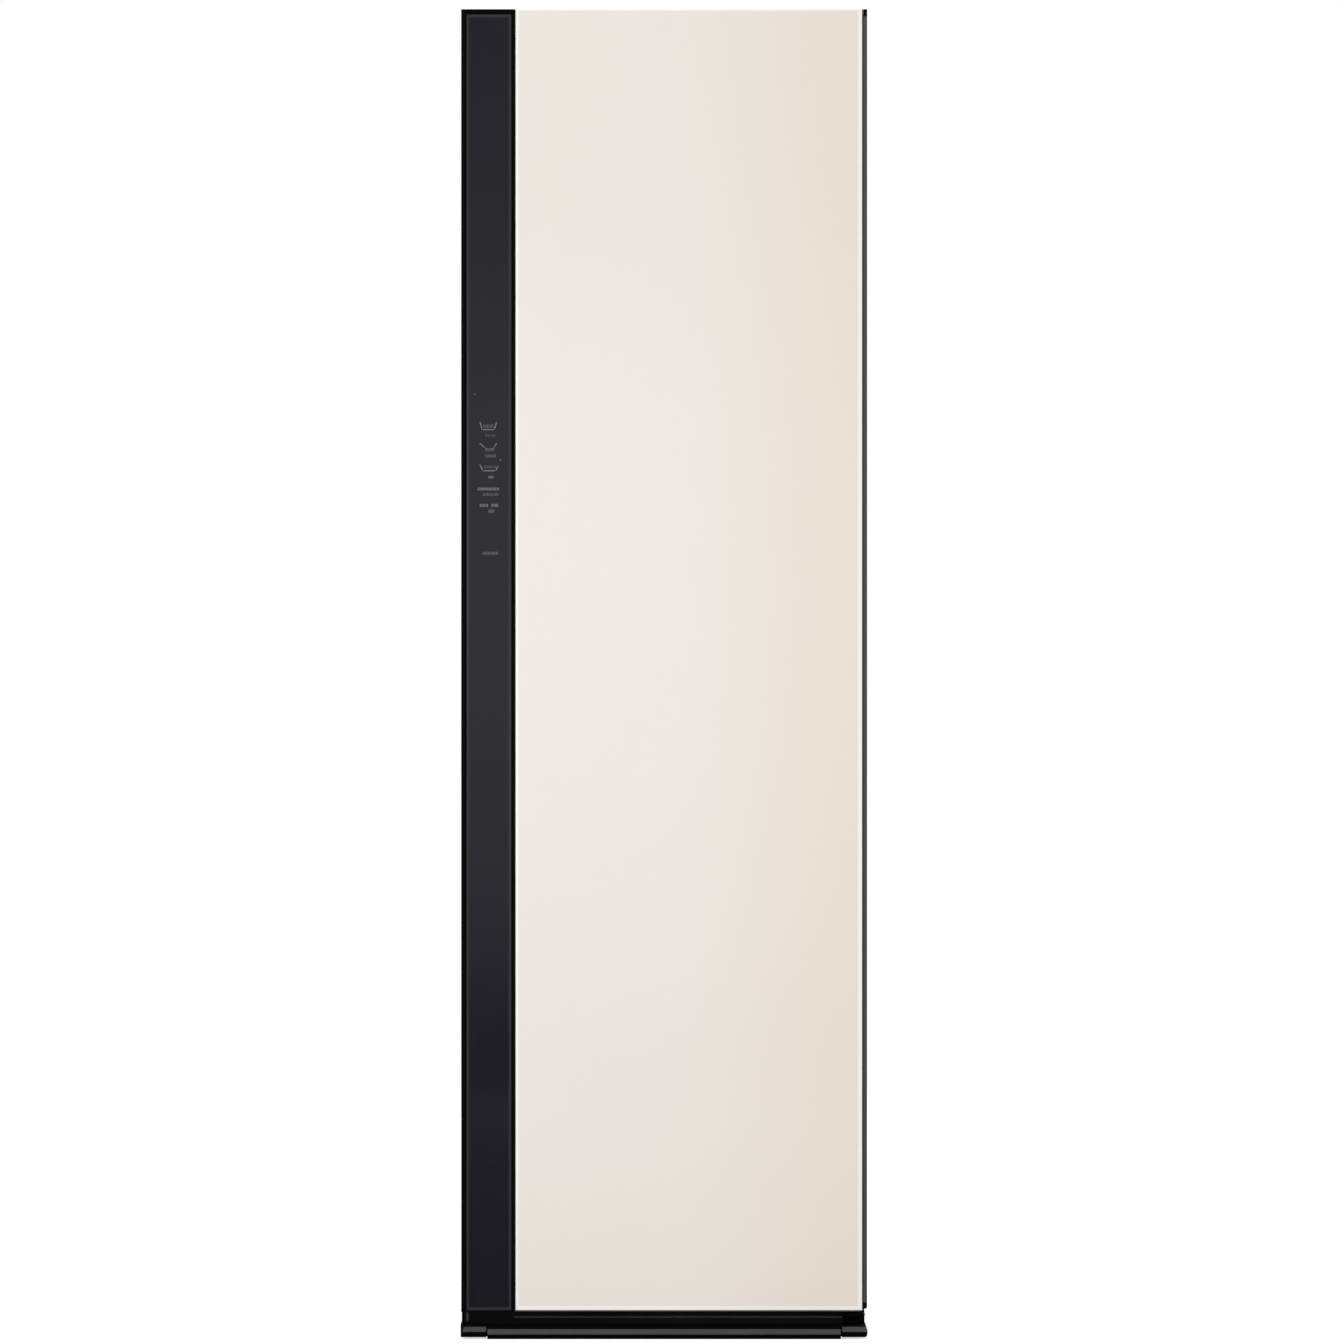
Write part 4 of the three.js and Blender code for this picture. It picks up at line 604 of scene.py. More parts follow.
# %% Touch marks
ink = Finish("touch_mark_ink", (0.43, 0.43, 0.44), 0.5)
ink.mottle(900.0, 2.0, 0.4, 0.7, (0.37, 0.37, 0.38), 0.5)
marks_x, marks_lift, ink_depth, tick_pitch = -259.0, 1.1, 0.08, 2.0
touch_strokes = [
    # each stroke: its thickness, then its points from the column's middle and the floor, in millimetres
    (1.0, (-20.4, 1391.6), (-19.4, 1391.6)),
    (1.6, (-12, 1350), (-9, 1339.5), (9, 1339.5), (12, 1350)),
    (1.6, (-12, 1319), (-5, 1313), (1, 1309), (8, 1313), (12, 1319)), (1.4, (17, 1295), (18.5, 1295)),
    (1.6, (-12, 1287), (-8, 1279), (11, 1279), (14, 1285)),
]
tick_rows = (
    # each row: its two ends, its middle's height, then a tick's height and thickness
    (-8, 8, 1344.5, 5.4, 0.55), (-5, 11, 1331, 3.6, 0.4), (-5, 9, 1309.5, 4.6, 0.6),
    (-5, 12, 1300.8, 4.4, 0.7), (-7, 12, 1284.6, 3.4, 0.5), (0, 8, 1269.6, 3.8, 1.2),
    (-16, 16, 1252.2, 4.2, 1.25), (-8, 15, 1244, 3.8, 0.65), (-13, 0, 1228, 4.6, 1.25),
    (4, 15, 1228, 4.6, 1.1), (0, 9, 1219.4, 4.8, 1.0), (-9, 15, 1157.6, 4.4, 0.75),
)
for left, right, z, tall, thick in tick_rows:
    count, half = round((right - left) / tick_pitch), (tall - thick) / 2
    for i in range(count):
        x = left + (i + 0.5) * (right - left) / count
        touch_strokes.append((thick, (x, z - half), (x, z + half)))

bm = bmesh.new()
for thick, *points in touch_strokes:
    for start, end in zip(points, points[1:]):
        start, end = Vector(start), Vector(end)
        along = (end - start).normalized() * thick / 2
        side = Vector((-along.y, along.x))
        start, end = start - along, end + along
        near, far = [[spot(bm, marks_x + p.x, y, p.y + marks_lift)
                      for p in (start - side, end - side, end + side, start + side)]
                     for y in (front_y, front_y + ink_depth)]
        bm.faces.new(near)
        bm.faces.new(far)
        band(bm, near, far)
dress(solid("touch_marks", bm), "control_glass", finish=ink)
print(len(touch_strokes), "touch strokes")

# %% [markdown]
# ## Geometry Nodes for what repeats
#
# Screws, ribs, blades and wires are one small shape many times over. A Geometry Nodes tree states that rule
# once: make the shape, put it on points, realize it, give it its finish. Each use sets the named inputs and
# the result is turned into plain mesh.

# %% Geometry Nodes helpers
def upright(net, z):
    return net.add("ShaderNodeCombineXYZ", {"Z": z})[0]


def joined(net, *parts):
    join = net.tree.nodes.new("GeometryNodeJoinGeometry")
    for part in parts:
        net.tree.links.new(part, join.inputs[0])
    return join.outputs[0]


def risen(net, mesh, top, rise, scale=None):
    """Extrudes the top face upwards and scales it; returns the mesh and its new top."""
    links = {"Mesh": mesh, "Offset": upright(net, rise), "Individual": False}
    if top:
        links["Selection"] = top
    step = net.add("ExtrudeMesh", links)
    mesh = step["Mesh"]
    if scale is not None:
        links = {"Geometry": mesh, "Selection": step["Top"], "Scale": scale}
        mesh = net.add("ScaleElements", links, domain="FACE")[0]
    return mesh, step["Top"]


def copied(net, points, shape, turn):
    """Ends a tree: the shape on every point, realized, in its finish."""
    copies = net.add("InstanceOnPoints", {"Points": points, "Instance": shape, "Rotation": turn})[0]
    real = net.add("RealizeInstances", {0: copies})[0]
    net.give(Geometry=net.add("SetMaterial", {"Geometry": real, "Material": net.ends["Finish"]})[0])


def grown(name, net, node_name, start=None, slot=None, **values):
    """What a tree makes from these input values, as a piece that rides with the node."""
    obj = new_object(name, start or bpy.data.meshes.new(name))
    modifier = obj.modifiers.new(net.tree.name, "NODES")
    modifier.node_group = net.tree
    for item in net.tree.interface.items_tree:
        key = item.name.replace(" ", "_")
        if item.in_out == "INPUT" and key in values:
            modifier[item.identifier] = values[key]
    bake(obj)
    bm = bmesh.new()
    bm.from_mesh(obj.data)
    fill(obj.data, bm)
    obj.data.set_sharp_from_angle(angle=radians(35))
    return dress(obj, node_name, slot=slot)


# %% Tree: rows of rounded bars
bar_rows = net = new_group("rows_of_bars", {
    "Geometry": "Geometry", "Count": 5, "Pitch": (0.01, 0, 0), "Start": (0, 0, 0), "Length": 0.1,
    "Width": 0.004, "Height": 0.002, "Corner": 0.0008, "Corner steps": 2, "Taper": 0.7, "Tilt": 0.0,
    "Turn": (0, 0, 0), "Finish": "Material"}, "Geometry", kind="Geometry")
ends = net.ends
outline = net.add("CurvePrimitiveQuadrilateral", {"Width": ends["Width"], "Height": ends["Height"]})[0]
links = {"Curve": outline, "Radius": ends["Corner"], "Count": ends["Corner steps"]}
section = net.add("FillCurve", {0: net.add("FilletCurve", links, mode="POLY")[0]}, mode="NGONS")[0]
half = net.times(ends["Length"], 0.5)
shaft = risen(net, section, None, net.maths("SUBTRACT", half, ends["Corner"]))
tip = risen(net, *shaft, ends["Corner"], ends["Taper"])[0]
other = net.add("Transform", {"Geometry": tip, "Scale": (1, 1, -1)})[0]
whole = net.add("MergeByDistance", {0: joined(net, tip, other), "Distance": 1e-6})[0]
bar = net.add("Transform", {"Geometry": whole, "Rotation": upright(net, ends["Tilt"])})[0]
links = {"Count": ends["Count"], "Start Location": ends["Start"], "Offset": ends["Pitch"]}
turn = net.add("FunctionNodeEulerToRotation", {0: ends["Turn"]})[0]
copied(net, net.add("MeshLine", links)[0], bar, turn)

# %% Tree: screw heads on points
screw_heads = net = new_group("screw_heads", {
    "Geometry": "Geometry", "Radius": 0.004, "Rise": 0.0016, "Recess": 0.0012, "Finish": "Material"},
    "Geometry", kind="Geometry")
disc = net.add("MeshCircle", {"Vertices": 16, "Radius": net.ends["Radius"]}, fill_type="NGON")[0]
head = risen(net, disc, None, net.times(net.ends["Rise"], 0.55), 0.98)
head = risen(net, *head, net.times(net.ends["Rise"], 0.45), 0.8)
head = risen(net, *head, 0.0, 0.62)
head = risen(net, *head, net.times(net.ends["Recess"], -1.0), 0.85)
facing = net.add("InputNamedAttribute", {"Name": "facing"}, data_type="FLOAT_VECTOR")[0]
turn = net.add("FunctionNodeAlignRotationToVector", {"Vector": facing}, axis="Z")[0]
copied(net, net.ends["Geometry"], joined(net, head[0], disc), turn)


def screws(name, node_name, points, facing, finish, radius, rise):
    """Screw heads at points in millimetres, all facing one way."""
    start = bpy.data.meshes.new(name + "_points")
    start.from_pydata([metres(point) for point in points], [], [])
    aims = start.attributes.new("facing", "FLOAT_VECTOR", "POINT").data
    aims.foreach_set("vector", list(facing) * len(points))
    return grown(name, screw_heads, node_name, start, "zinc_steel", Radius=radius * MM, Rise=rise * MM,
                 Recess=rise * 0.7 * MM, Finish=finish.material)


def bars(name, node_name, start, length, section, corner, turn=(0, 0, 0), count=1, pitch=(0, 0, 0),
         steps=2, taper=0.7, tilt=0, finish=None, slot=None):
    """A row of bars in millimetres, each along Z before it is turned and tilted, in degrees."""
    width, height = section
    finish = finish or by_slot[slot or slot_of[node_name]]
    return grown(name, bar_rows, node_name, slot=slot, Count=count, Pitch=metres(pitch), Start=metres(start),
                 Length=length * MM, Width=width * MM, Height=height * MM, Corner=corner * MM,
                 Corner_steps=steps, Taper=taper, Tilt=radians(tilt), Turn=[radians(a) for a in turn],
                 Finish=finish.material)


# %% [markdown]
# ## Pressed sheet
#
# Back, top, inner covers and the door's liner are sheets with pressed fields and cut slots. A sheet is a
# grid whose lines are just those that its presses and cuts need. A point's depth follows a smooth step from
# the edge of each press, and a cell inside a cut is left out, with walls round it.

# %% Pressed sheet
def pressed_sheet(name, u_range, v_range, thick, place, presses, cuts=(), edge=0.0):
    """presses are (u0, u1, v0, v1, slope, depth), cuts (u0, u1, v0, v1); place turns u, v, w to x, y, z."""
    def lines(axis, low, high):
        found = [low, high] + [end for cut in cuts for end in cut[2 * axis:2 * axis + 2]]
        for press in presses:
            a, b = press[2 * axis:2 * axis + 2]
            for step in (0, 0.25, 0.5, 0.75, 1):
                found += a + press[4] * step, b - press[4] * step
        return sorted({round(f, 3) for f in found if low <= f <= high})

    def depth(u, v):
        total = 0.0
        for u0, u1, v0, v1, slope, deep in presses:
            share = min(max(min(u - u0, u1 - u, v - v0, v1 - v) / slope, 0), 1)
            total += deep * share * share * (3 - 2 * share)
        return total

    us, vs = lines(0, *u_range), lines(1, *v_range)
    bm = bmesh.new()
    points = {}

    def point(i, j, layer):
        if (i, j, layer) not in points:
            w = -depth(us[i], vs[j]) - thick * layer
            points[i, j, layer] = spot(bm, *place(us[i], vs[j], w))
        return points[i, j, layer]

    def kept(i, j):
        if not (0 <= i < len(us) - 1 and 0 <= j < len(vs) - 1):
            return False
        u, v = (us[i] + us[i + 1]) / 2, (vs[j] + vs[j + 1]) / 2
        return not any(u0 < u < u1 and v0 < v < v1 for u0, u1, v0, v1 in cuts)

    for i in range(len(us) - 1):
        for j in range(len(vs) - 1):
            if kept(i, j):
                corners = ((i, j), (i + 1, j), (i + 1, j + 1), (i, j + 1))
                for layer in (0, 1):
                    bm.faces.new([point(*c, layer) for c in corners])
                for side, (di, dj) in enumerate(((0, -1), (1, 0), (0, 1), (-1, 0))):
                    if not kept(i + di, j + dj):
                        a, b = corners[side], corners[(side + 1) % 4]
                        bm.faces.new((point(*a, 0), point(*b, 0), point(*b, 1), point(*a, 1)))
    return solid(name, bm, edge, hold=50) if edge else solid(name, bm, sharp=40)


def standing(name, node_name, y, side, thick, presses, cuts=(), edge=0.0, margin=0.0):
    """A pressed sheet on edge that stands for the node. Its side is 1 if it looks to the back, else -1."""
    low, high = box_mm(node_name)
    u_range, v_range = [(low[axis] + margin, high[axis] - margin) for axis in (0, 2)]
    made = pressed_sheet(name, u_range, v_range, thick, lambda u, v, w: (u, y + side * w, v), presses, cuts,
                         edge)
    return dress(made, node_name, node_name)


def grid_of(u_values, v_values, width, height):
    """Cuts of one size, each from its lower left corner."""
    return [(u, u + width, v, v + height) for u in u_values for v in v_values]


# %% [markdown]
# ### Back panel
#
# The back is one zinc-coated sheet. Its rim lies a little deeper than the rest, so that the screw heads end
# level with the fields that stiffen it. A sunk vent with blades lets the heat pump's air out, and an opening
# takes the mains inlet.

# %% Back panel
low, high = box_mm("back_panel")
rim_drop = 1.4
rim_y = high[1] - rim_drop
cutout = (183.7, 236.3, 131.7, 168.3)
vent_u, vent_v, blade_pitch, blade_count = (-236, 44), (96, 356), 18, 12
vent_columns = (vent_u[0] + 14, (vent_u[0] + vent_u[1]) / 2 + 6)
vent_slots = grid_of(vent_columns, [vent_v[0] + 20 + blade_pitch * i for i in range(blade_count)], 120, 9)
fields = [(-262, 262, 1120, 1886, 14, -rim_drop), (-262, 262, 452, 1064, 14, -rim_drop),
          (*vent_u, *vent_v, 10, 3.2), (150, 262, 96, 356, 10, -rim_drop)]
fields += [(-200, 200, z, z + 44, 9, 5.2) for z in (1196, 1380, 1564, 1748, 520, 690, 860)]
back = standing("back_sheet", "back_panel", rim_y, 1, 0.9, fields, vent_slots + [cutout], margin=0.6)
for side, u in zip(("left", "right"), vent_columns):
    bars("vent_blades_" + side, "back_panel", (u + 60, rim_y - 3.4, vent_v[0] + 28), 124, (1.0, 11), 0.35,
         (0, 90, 0), blade_count, (0, 0, blade_pitch), tilt=-38)
rim = [(x, rim_y, z) for x in (11 - high[0], high[0] - 11) for z in range(76, 1931, 205)]
rim += [(x, rim_y, z) for x in (-190, -64, 62, 188) for z in (low[2] + 13, high[2] - 13)]
screws("back_screws", "back_panel", rim, (0, 1, 0), plated_screw, 3.6, 1.3)
print("back sheet", len(back.data.polygons), "faces,", len(rim), "screws")

# %% [markdown]
# ### Top panel and inner covers
#
# The top is a painted sheet with three pressed channels that keep it from drumming. With the door open, a
# header cover hides the rack's drive and a lower cover with air slots hides the heat pump.

# %% Top panel
low, high = box_mm("top_panel")
top_z = high[2]
channels = [(x - 34, x + 34, -150, 232, 6, 2.4) for x in (-170, 0, 170)]
top = pressed_sheet("top_sheet", (low[0], high[0]), (low[1], high[1]), 1.6,
                    lambda u, v, w: (u, v, top_z + w), channels, edge=0.5)
dress(top, "top_panel", "top_panel")
points = [(x, high[1] - 14, top_z) for x in (-270, -90, 90, 270)] + [(-270, low[1] + 22, top_z)]
screws("top_screws", "top_panel", points, (0, 0, 1), black_screw, 4.0, 1.6)
points = [(274, -175, 1957.3), (274, -220, 1957.3)]
screws("hinge_cover_screws", "hinge_cover", points, (0, 0, 1), black_screw, 3.4, 1.2)

# %% The side panels' lower folds, which lie on the base and close the seam beside it
fold_size, fold_z = (13.0, 0.8), 41.3
for side, x in (("left", -292.4), ("right", 292.4)):
    low, high = box_mm("side_panel_" + side)
    bars("side_fold_" + side, "side_panel_" + side, (x, (low[1] + high[1]) / 2, fold_z),
         high[1] - low[1] - 2, fold_size, 0.2, (90, 0, 0), taper=1.0)


# %% Header and lower cover
def cover(node_name, presses, cuts, screw_zs):
    """A front cover that looks towards the door, with its screws."""
    face_y = box_mm(node_name)[0][1] + 0.6
    standing("shown_" + node_name, node_name, face_y, -1, 1.8, presses, cuts, 0.3)
    points = [(x, face_y, z) for x in (-238, 238) for z in screw_zs]
    screws(node_name + "_screws", node_name, points, (0, -1, 0), plated_screw, 3.6, 0.6)


cover("header_cover", [(-226, 226, 1826, 1920, 8, 1.0), (-120, 120, 1846, 1900, 3, 0.4)],
      grid_of(range(-104, 105, 16), (1854,), 7, 38), (1816, 1930))
cover("lower_cover", [(-226, 226, 62, 308, 8, 1.0), (-206, -16, 84, 286, 3, 0.4)],
      grid_of((-196, -106), range(94, 270, 16), 80, 7), (54, 185, 316))

# %% [markdown]
# ### Chamber
#
# The chamber is lined with satin mouldings. Ribs on the side walls keep damp cloth off them, the rear wall
# has a sunk field with ribs, and the ceiling lamp's lens is ribbed to spread its light.

# %% Chamber walls
wall_y = box_mm("liner_rear")[0][1]
standing("shown_liner_rear", "liner_rear", wall_y, -1, 1.8,
         [(-216, 216, 760, 1724, 16, 5.0), (-70, 70, 610, 720, 8, 1.5)])
bars("rear_wall_ribs", "liner_rear", (-184, wall_y + 3.6, 1242), 900, (9, 4), 1.6, count=9,
     pitch=(46, 0, 0), steps=4)
for side, x in (("left", -247.2), ("right", 247.2)):
    bars(side + "_wall_ribs", "liner_" + side, (x, -172, 1180), 1100, (2.6, 9), 1.2, count=10,
         pitch=(0, 36, 0), steps=4)
rounded("lamp_lens", 1.2)
lens_z = box_mm("lamp_lens")[0][2]
bars("lamp_lens_ribs", "lamp_lens", (0, -195, lens_z), 118, (1.5, 1.4), 0.5, (0, 90, 0), 11, (0, 3, 0))

# %% [markdown]
# ### Door liner and seal
#
# Behind its glass the door is closed by a moulded liner with sunk fields above and below the press. Round it
# runs a soft seal: a foot, a thin waist that folds, and a wide lip that meets the cabinet.

# %% Door liner
fields = [(-226, 226, 116, 716, 7, 2.5), (-226, 226, 1684, 1884, 7, 2.5), (-200, 200, 142, 690, 6, -1.5)]
standing("shown_door_liner", "door_liner", box_mm("door_liner")[1][1], 1, 1.4, fields)

# %% [markdown]
# ### Trouser press
#
# The press panel is a deep box moulding. Its room side is a sunk field with raised pads that stiffen it and
# a finger cup at the free edge, so the face is a pressed sheet, and the box behind it is the CAD form set
# back.

# %% Press panel and clamp
low, high = box_mm("press_panel")
press_y, face_depth = high[1], 7.0


def set_back(bm):
    for v in bm.verts:
        v.co.y = min(v.co.y, (press_y - face_depth) * MM)


rounded("press_panel", 0.8, reshape=set_back)
fields = [(-136, 136, 776, 1544, 7, 1.8), (-132, -114, 1105, 1215, 5, 3.2)]
fields += [(-104, 118, z, z + 124, 9, -1.0) for z in range(798, 1500, 148)]
press_face = pressed_sheet("press_face", (low[0], 150), (low[2], high[2]), face_depth + 0.4,
                           lambda u, v, w: (u, press_y + w, v), fields, edge=1.0)
dress(press_face, "press_panel")
clamp_y = box_mm("trouser_clamp")[1][1] - 0.2
bars("clamp_grip_ribs", "trouser_clamp", (0, clamp_y, 1612), 216, (1.2, 2.4), 0.5, (0, 90, 0), 6, (0, 0, 6),
     finish=soft_rubber)
print("press face", len(press_face.data.polygons), "faces")

# %% Door seal
seal_section = [
    # across the seal from its outer edge, and its rise towards the cabinet, in millimetres
    (0.3, 0), (17.7, 0), (17.7, 1.3), (13.4, 2.2), (12.4, 3.3), (14.6, 4.2), (16.0, 5.6), (15.8, 7.4),
    (14.2, 8.8), (11.4, 9.35), (6.6, 9.35), (3.8, 8.8), (2.2, 7.4), (2.0, 5.6), (3.4, 4.2), (5.6, 3.3),
    (4.6, 2.2), (0.3, 1.3),
]
low, high = box_mm("door_gasket")
bm = bmesh.new()
rings = []
for x_end, z_end in ((low, low), (high, low), (high, high), (low, high)):
    x_way, z_way = [1 if end is low else -1 for end in (x_end, z_end)]
    rings.append([spot(bm, x_end[0] + x_way * across, low[1] + rise, z_end[2] + z_way * across)
                  for across, rise in seal_section])
for a, b in zip(rings, rings[1:] + rings[:1]):
    band(bm, a, b)
dress(solid("door_seal", bm, sharp=50), "door_gasket", "door_gasket")
print("seal", round(high[0] - low[0], 1), "x", round(high[2] - low[2], 1))

# %% [markdown]
# ### Base front
#
# The plinth and the two corner covers are matt black mouldings with a rounded nose whose middle band is
# painted paler, a painted highlight: a section swept along a line in plan. A fine bead runs along the black
# tray above them, and on the left both end in plain black. Short beads at the tray's ends are painted pale
# in the same way, a painted highlight.

# %% Plinth, corner covers and bead
def skirting(name, outer, inner, z_range, section, nose):
    """outer and inner are lines in plan; section is (share of the way inwards, share of the height). Its
    faces between the two heights in nose get the paler finish, a painted highlight."""
    bm = bmesh.new()
    rings = []
    for (x0, y0), (x1, y1) in zip(outer, inner):
        rings.append([spot(bm, x0 + (x1 - x0) * inwards, y0 + (y1 - y0) * inwards,
                           z_range[0] + (z_range[1] - z_range[0]) * up) for inwards, up in section])
    bm.faces.new(rings[0])
    bm.faces.new(rings[-1])
    for a, b in zip(rings, rings[1:]):
        for i, face in enumerate(band(bm, a, b)):
            face.material_index = int(nose[0] < (section[i - 1][1] + section[i][1]) / 2 < nose[1])
    obj = solid(name, bm, 0.3, hold=50)
    coat(obj, matt_black, painted_highlight_black)
    return obj


nosing = [(1.0, 0.0), (0.32, 0.0), (0.15, 0.08), (0.055, 0.2), (0.01, 0.35), (0.0, 0.47), (0.035, 0.6),
          (0.12, 0.745), (0.29, 0.9), (0.52, 1.0), (1.0, 1.0)]
low, high = box_mm("plinth_cover")
outer, inner = [[(low[0], y), (high[0], y)] for y in (low[1], high[1])]
plinth = skirting("plinth_front", outer, inner, (low[2] - 1.2, high[2]), nosing, (0.36, 0.74))
dress(plinth, "plinth_cover", "plinth_cover")
wall, turn = 8.0, 3.5
arc = [radians(90 * step / 5) for step in range(6)]
for side, node_name in ((-1, "base_corner_left"), (1, "base_corner_right")):
    low, high = box_mm(node_name)
    inner_x, outer_x = (low[0], high[0]) if side > 0 else (high[0], low[0])
    front, rear = low[1], high[1]
    rounding = [(outer_x - side * turn * (1 - sin(a)), front + turn * (1 - cos(a))) for a in arc]
    wall_x, wall_y = outer_x - side * wall, front + wall
    outer = [(inner_x, front), *rounding, (outer_x, rear)]
    inner = [(inner_x, wall_y), *[(wall_x, wall_y)] * len(arc), (wall_x, rear)]
    corner = skirting("shown_" + node_name, outer, inner, (low[2] - 1, high[2]), nosing, (0.5, 0.86))
    dress(corner, node_name, node_name)
tray_front, bead_z = -258.0, 30.2
bead = [(-0.4, 0.0), (0.5, 0.07), (1.1, 0.36), (1.1, 0.64), (0.5, 0.93), (-0.4, 1.0)]
outer, inner = [[(-221, y), (292, y)] for y in (tray_front, tray_front - 1)]
strip = skirting("tray_bead", outer, inner, (bead_z - 1.4, bead_z + 1.4), bead, (1, 1))
dress(strip, "base_frame", finish=grey_plastic)
bars("tray_end_left", "base_frame", (-297.2, tray_front + 4, 30.4), 20.4, (3.8, 8.0), 0.3, taper=0.95,
     finish=matt_black)
bars("corner_end_left", "base_corner_left", (-298.2, -245.2, 12.9), 19.4, (3.5, 89.0), 0.4, taper=0.98,
     finish=matt_black)
# pale beads at the tray's ends: a painted highlight
for side, x, foot_z in (("left", -290.6, 24), ("right", 286.4, 21)):
    bars("tray_end_bead_" + side, "base_frame", (x, tray_front - 0.2, (foot_z + 40) / 2), 40 - foot_z,
         (3.0, 1.6), 0.5, finish=painted_highlight_black)

# %% [markdown]
# ### Feet
#
# Each front foot is a rubber pad on a moulded skirt with a hexagon for the spanner and a threaded stud.

# %% Feet
def turned(name, profile, centre, sides=40):
    """A radius, height profile in millimetres turned round an upright axis, where it starts and ends."""
    bm = bmesh.new()
    rings = []
    for radius, z in profile:
        count = 1 if radius == 0 else sides
        angles = [2 * pi * i / count for i in range(count)]
        rings.append([spot(bm, centre[0] + radius * cos(a), centre[1] + radius * sin(a), z)
                      for a in angles])
    for a, b in zip(rings, rings[1:]):
        for i in range(sides):
            corners = a[i % len(a)], a[(i + 1) % len(a)], b[(i + 1) % len(b)], b[i % len(b)]
            distinct = list(dict.fromkeys(corners))
            if len(distinct) > 2:
                bm.faces.new(distinct)
    return solid(name, bm)


pad = [(0, 0), (17.6, 0), (19.3, 0.7), (20, 2.2), (20, 5.2), (19.2, 6.4), (17.8, 6.8), (17.8, 7.6),
       (19, 8.2), (18.6, 10.2), (13, 13.5), (11.5, 14.5), (0, 14.5)]
hexagon = [(0, 14), (9.6, 14), (9.6, 18.4), (8.8, 19.2), (0, 19.2)]
stud = [(0, 19)] + [(4.9 if i % 2 else 4.3, 19.1 + i * 0.6) for i in range(18)] + [(4.2, 30), (0, 30)]
for side in ("left", "right"):
    foot = "foot_" + side
    low, high = box_mm(foot)
    centre = ((low[0] + high[0]) / 2, (low[1] + high[1]) / 2)
    dress(turned("foot_pad_" + side, pad, centre), foot, foot)
    dress(turned("foot_nut_" + side, hexagon, centre, 6), foot, finish=grey_plastic)
    dress(turned("foot_stud_" + side, stud, centre, 24), foot, finish=plated_screw)

# %% [markdown]
# ### Water tanks, filter screen and inlet pins

# %% Small repeated parts
for side, tick_x in (("supply", 30), ("drain", -30)):
    tick_y = box_mm(side + "_tank")[0][1] + 0.1
    bars(side + "_level_ticks", side + "_tank", (tick_x, tick_y, 352), 14, (0.5, 1.1), 0.2, (90, 0, 90), 6,
         (0, 0, 9), 1, finish=white_plastic)
wire = (0.7, 0.7)
bars("filter_wires_across", "lint_filter", (21.5, 117, 450.2), 62, wire, 0.2, (90, 0, 0), 62, (3, 0, 0), 1,
     slot="zinc_steel")
bars("filter_wires_along", "lint_filter", (113, 88.5, 450.9), 186, wire, 0.2, (0, 90, 0), 20, (0, 3, 0), 1,
     slot="zinc_steel")
for name, x, z, count in (("inlet_pins", 203, 147, 2), ("inlet_earth_pin", 210, 154, 1)):
    bars(name, "power_inlet", (x, 284, z), 13, (2, 4), 0.5, (90, 0, 0), count, (14, 0, 0),
         finish=plated_screw, slot="zinc_steel")

# %% [markdown]
# ## Studio
#
# The floor is a very large pale sheet that glows a little for the camera, so that it runs into the white
# background and still takes the cabinet's shadow. Seen in reflections it is painted darker, and it glows
# more the further in front of the cabinet it lies: a painted reflection. The world is plain soft light;
# glossy surfaces see a wide band of brighter light in front, like the soft boxes beside the camera.

# %% Floor
bm = bmesh.new()
bmesh.ops.create_grid(bm, x_segments=1, y_segments=1, size=60)
floor = solid("studio_floor", bm)
paper = Finish("studio_paper", 0.9, 0.9, Specular_IOR_Level=0.0, Emission_Color=(1, 1, 1, 1))
paper.tint(paper.noise(3.0), 0.88, 0.3)
paths = paper.add("LightPath")
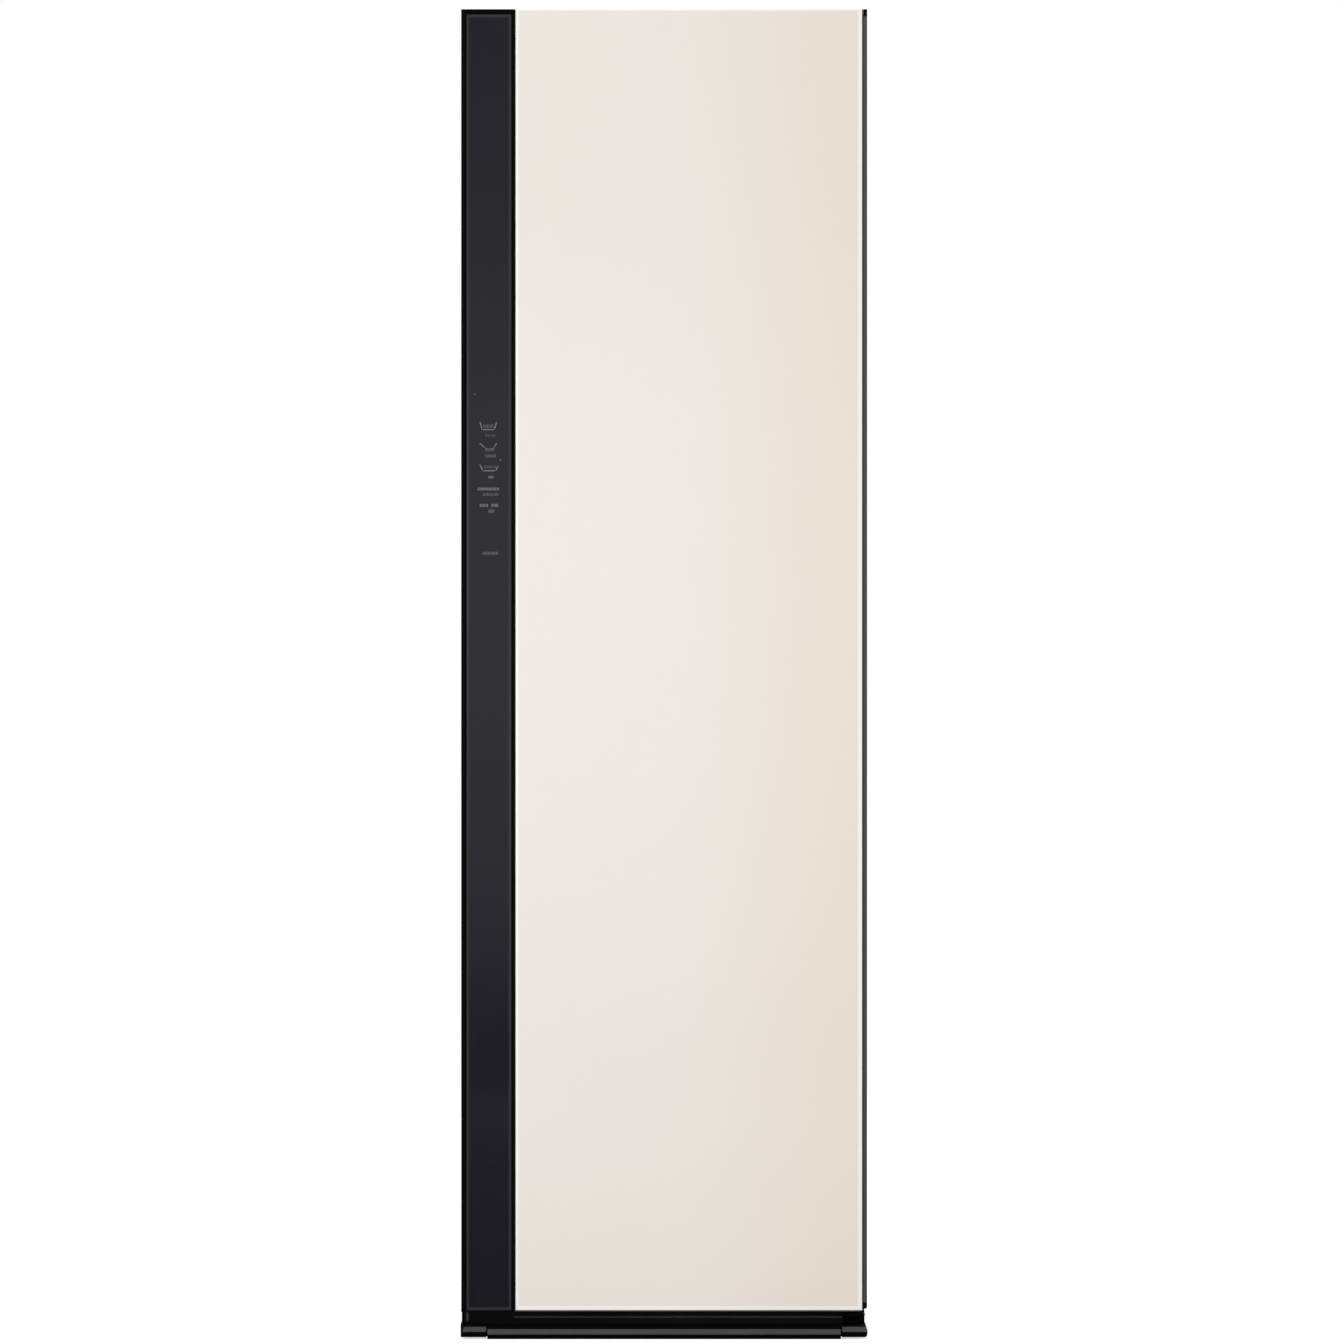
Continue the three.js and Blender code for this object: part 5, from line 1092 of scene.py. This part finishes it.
# in reflections the floor is painted darker near the cabinet and brighter far in front: painted reflection
paper.tint(paths["Is Glossy Ray"], 0.75)
far_reflection_ramp = paper.span(paper.place("Y"), -0.5, -25.0, 0.0, 0.95)
painted_reflection_glow = paper.times(paths["Is Glossy Ray"], far_reflection_ramp)
glow = paper.maths("MULTIPLY_ADD", paths["Is Camera Ray"], 0.62, painted_reflection_glow)
paper.tree.links.new(glow, paper.shader["Emission Strength"])
coat(floor, paper)

# %% World
world = bpy.data.worlds.new("studio_world")
scene.world = world
world.use_nodes = True
sky = Net(world.node_tree)
rays = sky.add("LightPath")
aim = sky.add("SeparateXYZ", {0: sky.add("TexCoord")["Generated"]})
wide_glow = sky.span(aim["Z"], 0.098, 0.036, 0.0, 0.52)
box_edge = sky.span(aim["Z"], 0.05, 0.036, 0.0, 0.2)
low_edge = sky.span(aim["Z"], 0.0, -0.016, 0.0, -0.1)
level = sky.maths("ADD", sky.maths("ADD", wide_glow, box_edge), low_edge)
band_light = sky.maths("MULTIPLY_ADD", level, sky.span(aim["Y"], -0.9, -0.99), 0.8)
seen = sky.maths("MAXIMUM", rays["Is Camera Ray"], rays["Is Transmission Ray"])
gloss = sky.times(rays["Is Glossy Ray"], band_light)
spread = sky.maths("SUBTRACT", 1.0, sky.maths("MAXIMUM", seen, rays["Is Glossy Ray"]))
total = sky.maths("ADD", sky.maths("ADD", seen, gloss), sky.times(spread, 0.6))
background = sky.tree.nodes["Background"].inputs
sky.tree.links.new(total, background["Strength"])
background["Color"].default_value = (1, 1, 1, 1)
world.cycles.sampling_method = "NONE"

# %% Soft lamps, aimed at the cabinet's middle: place, size and power
soft_boxes = {
    "left": ((-3.0, -2.9, 1.5), (1.4, 2.4), 36), "right": ((4.2, -3.4, 1.5), (1.6, 2.6), 44),
    "front": ((0, -6.5, 1.3), (3.0, 1.4), 55), "rear": ((0.5, 5.5, 2.6), (4.0, 2.0), 70),
    "top": ((0, 0.3, 4.6), (3.0, 3.0), 45),
}
for side, (place, size, power) in soft_boxes.items():
    lamp = bpy.data.lights.new(side + "_soft_box", "AREA")
    lamp.shape, lamp.size, lamp.size_y, lamp.energy = "RECTANGLE", *size, power
    obj = new_object(lamp.name, lamp)
    obj.location = place
    obj.rotation_euler = (Vector((0, 0, 1.0)) - Vector(place)).to_track_quat("-Z", "Y").to_euler()
    obj.visible_glossy = obj.visible_camera = obj.visible_transmission = False
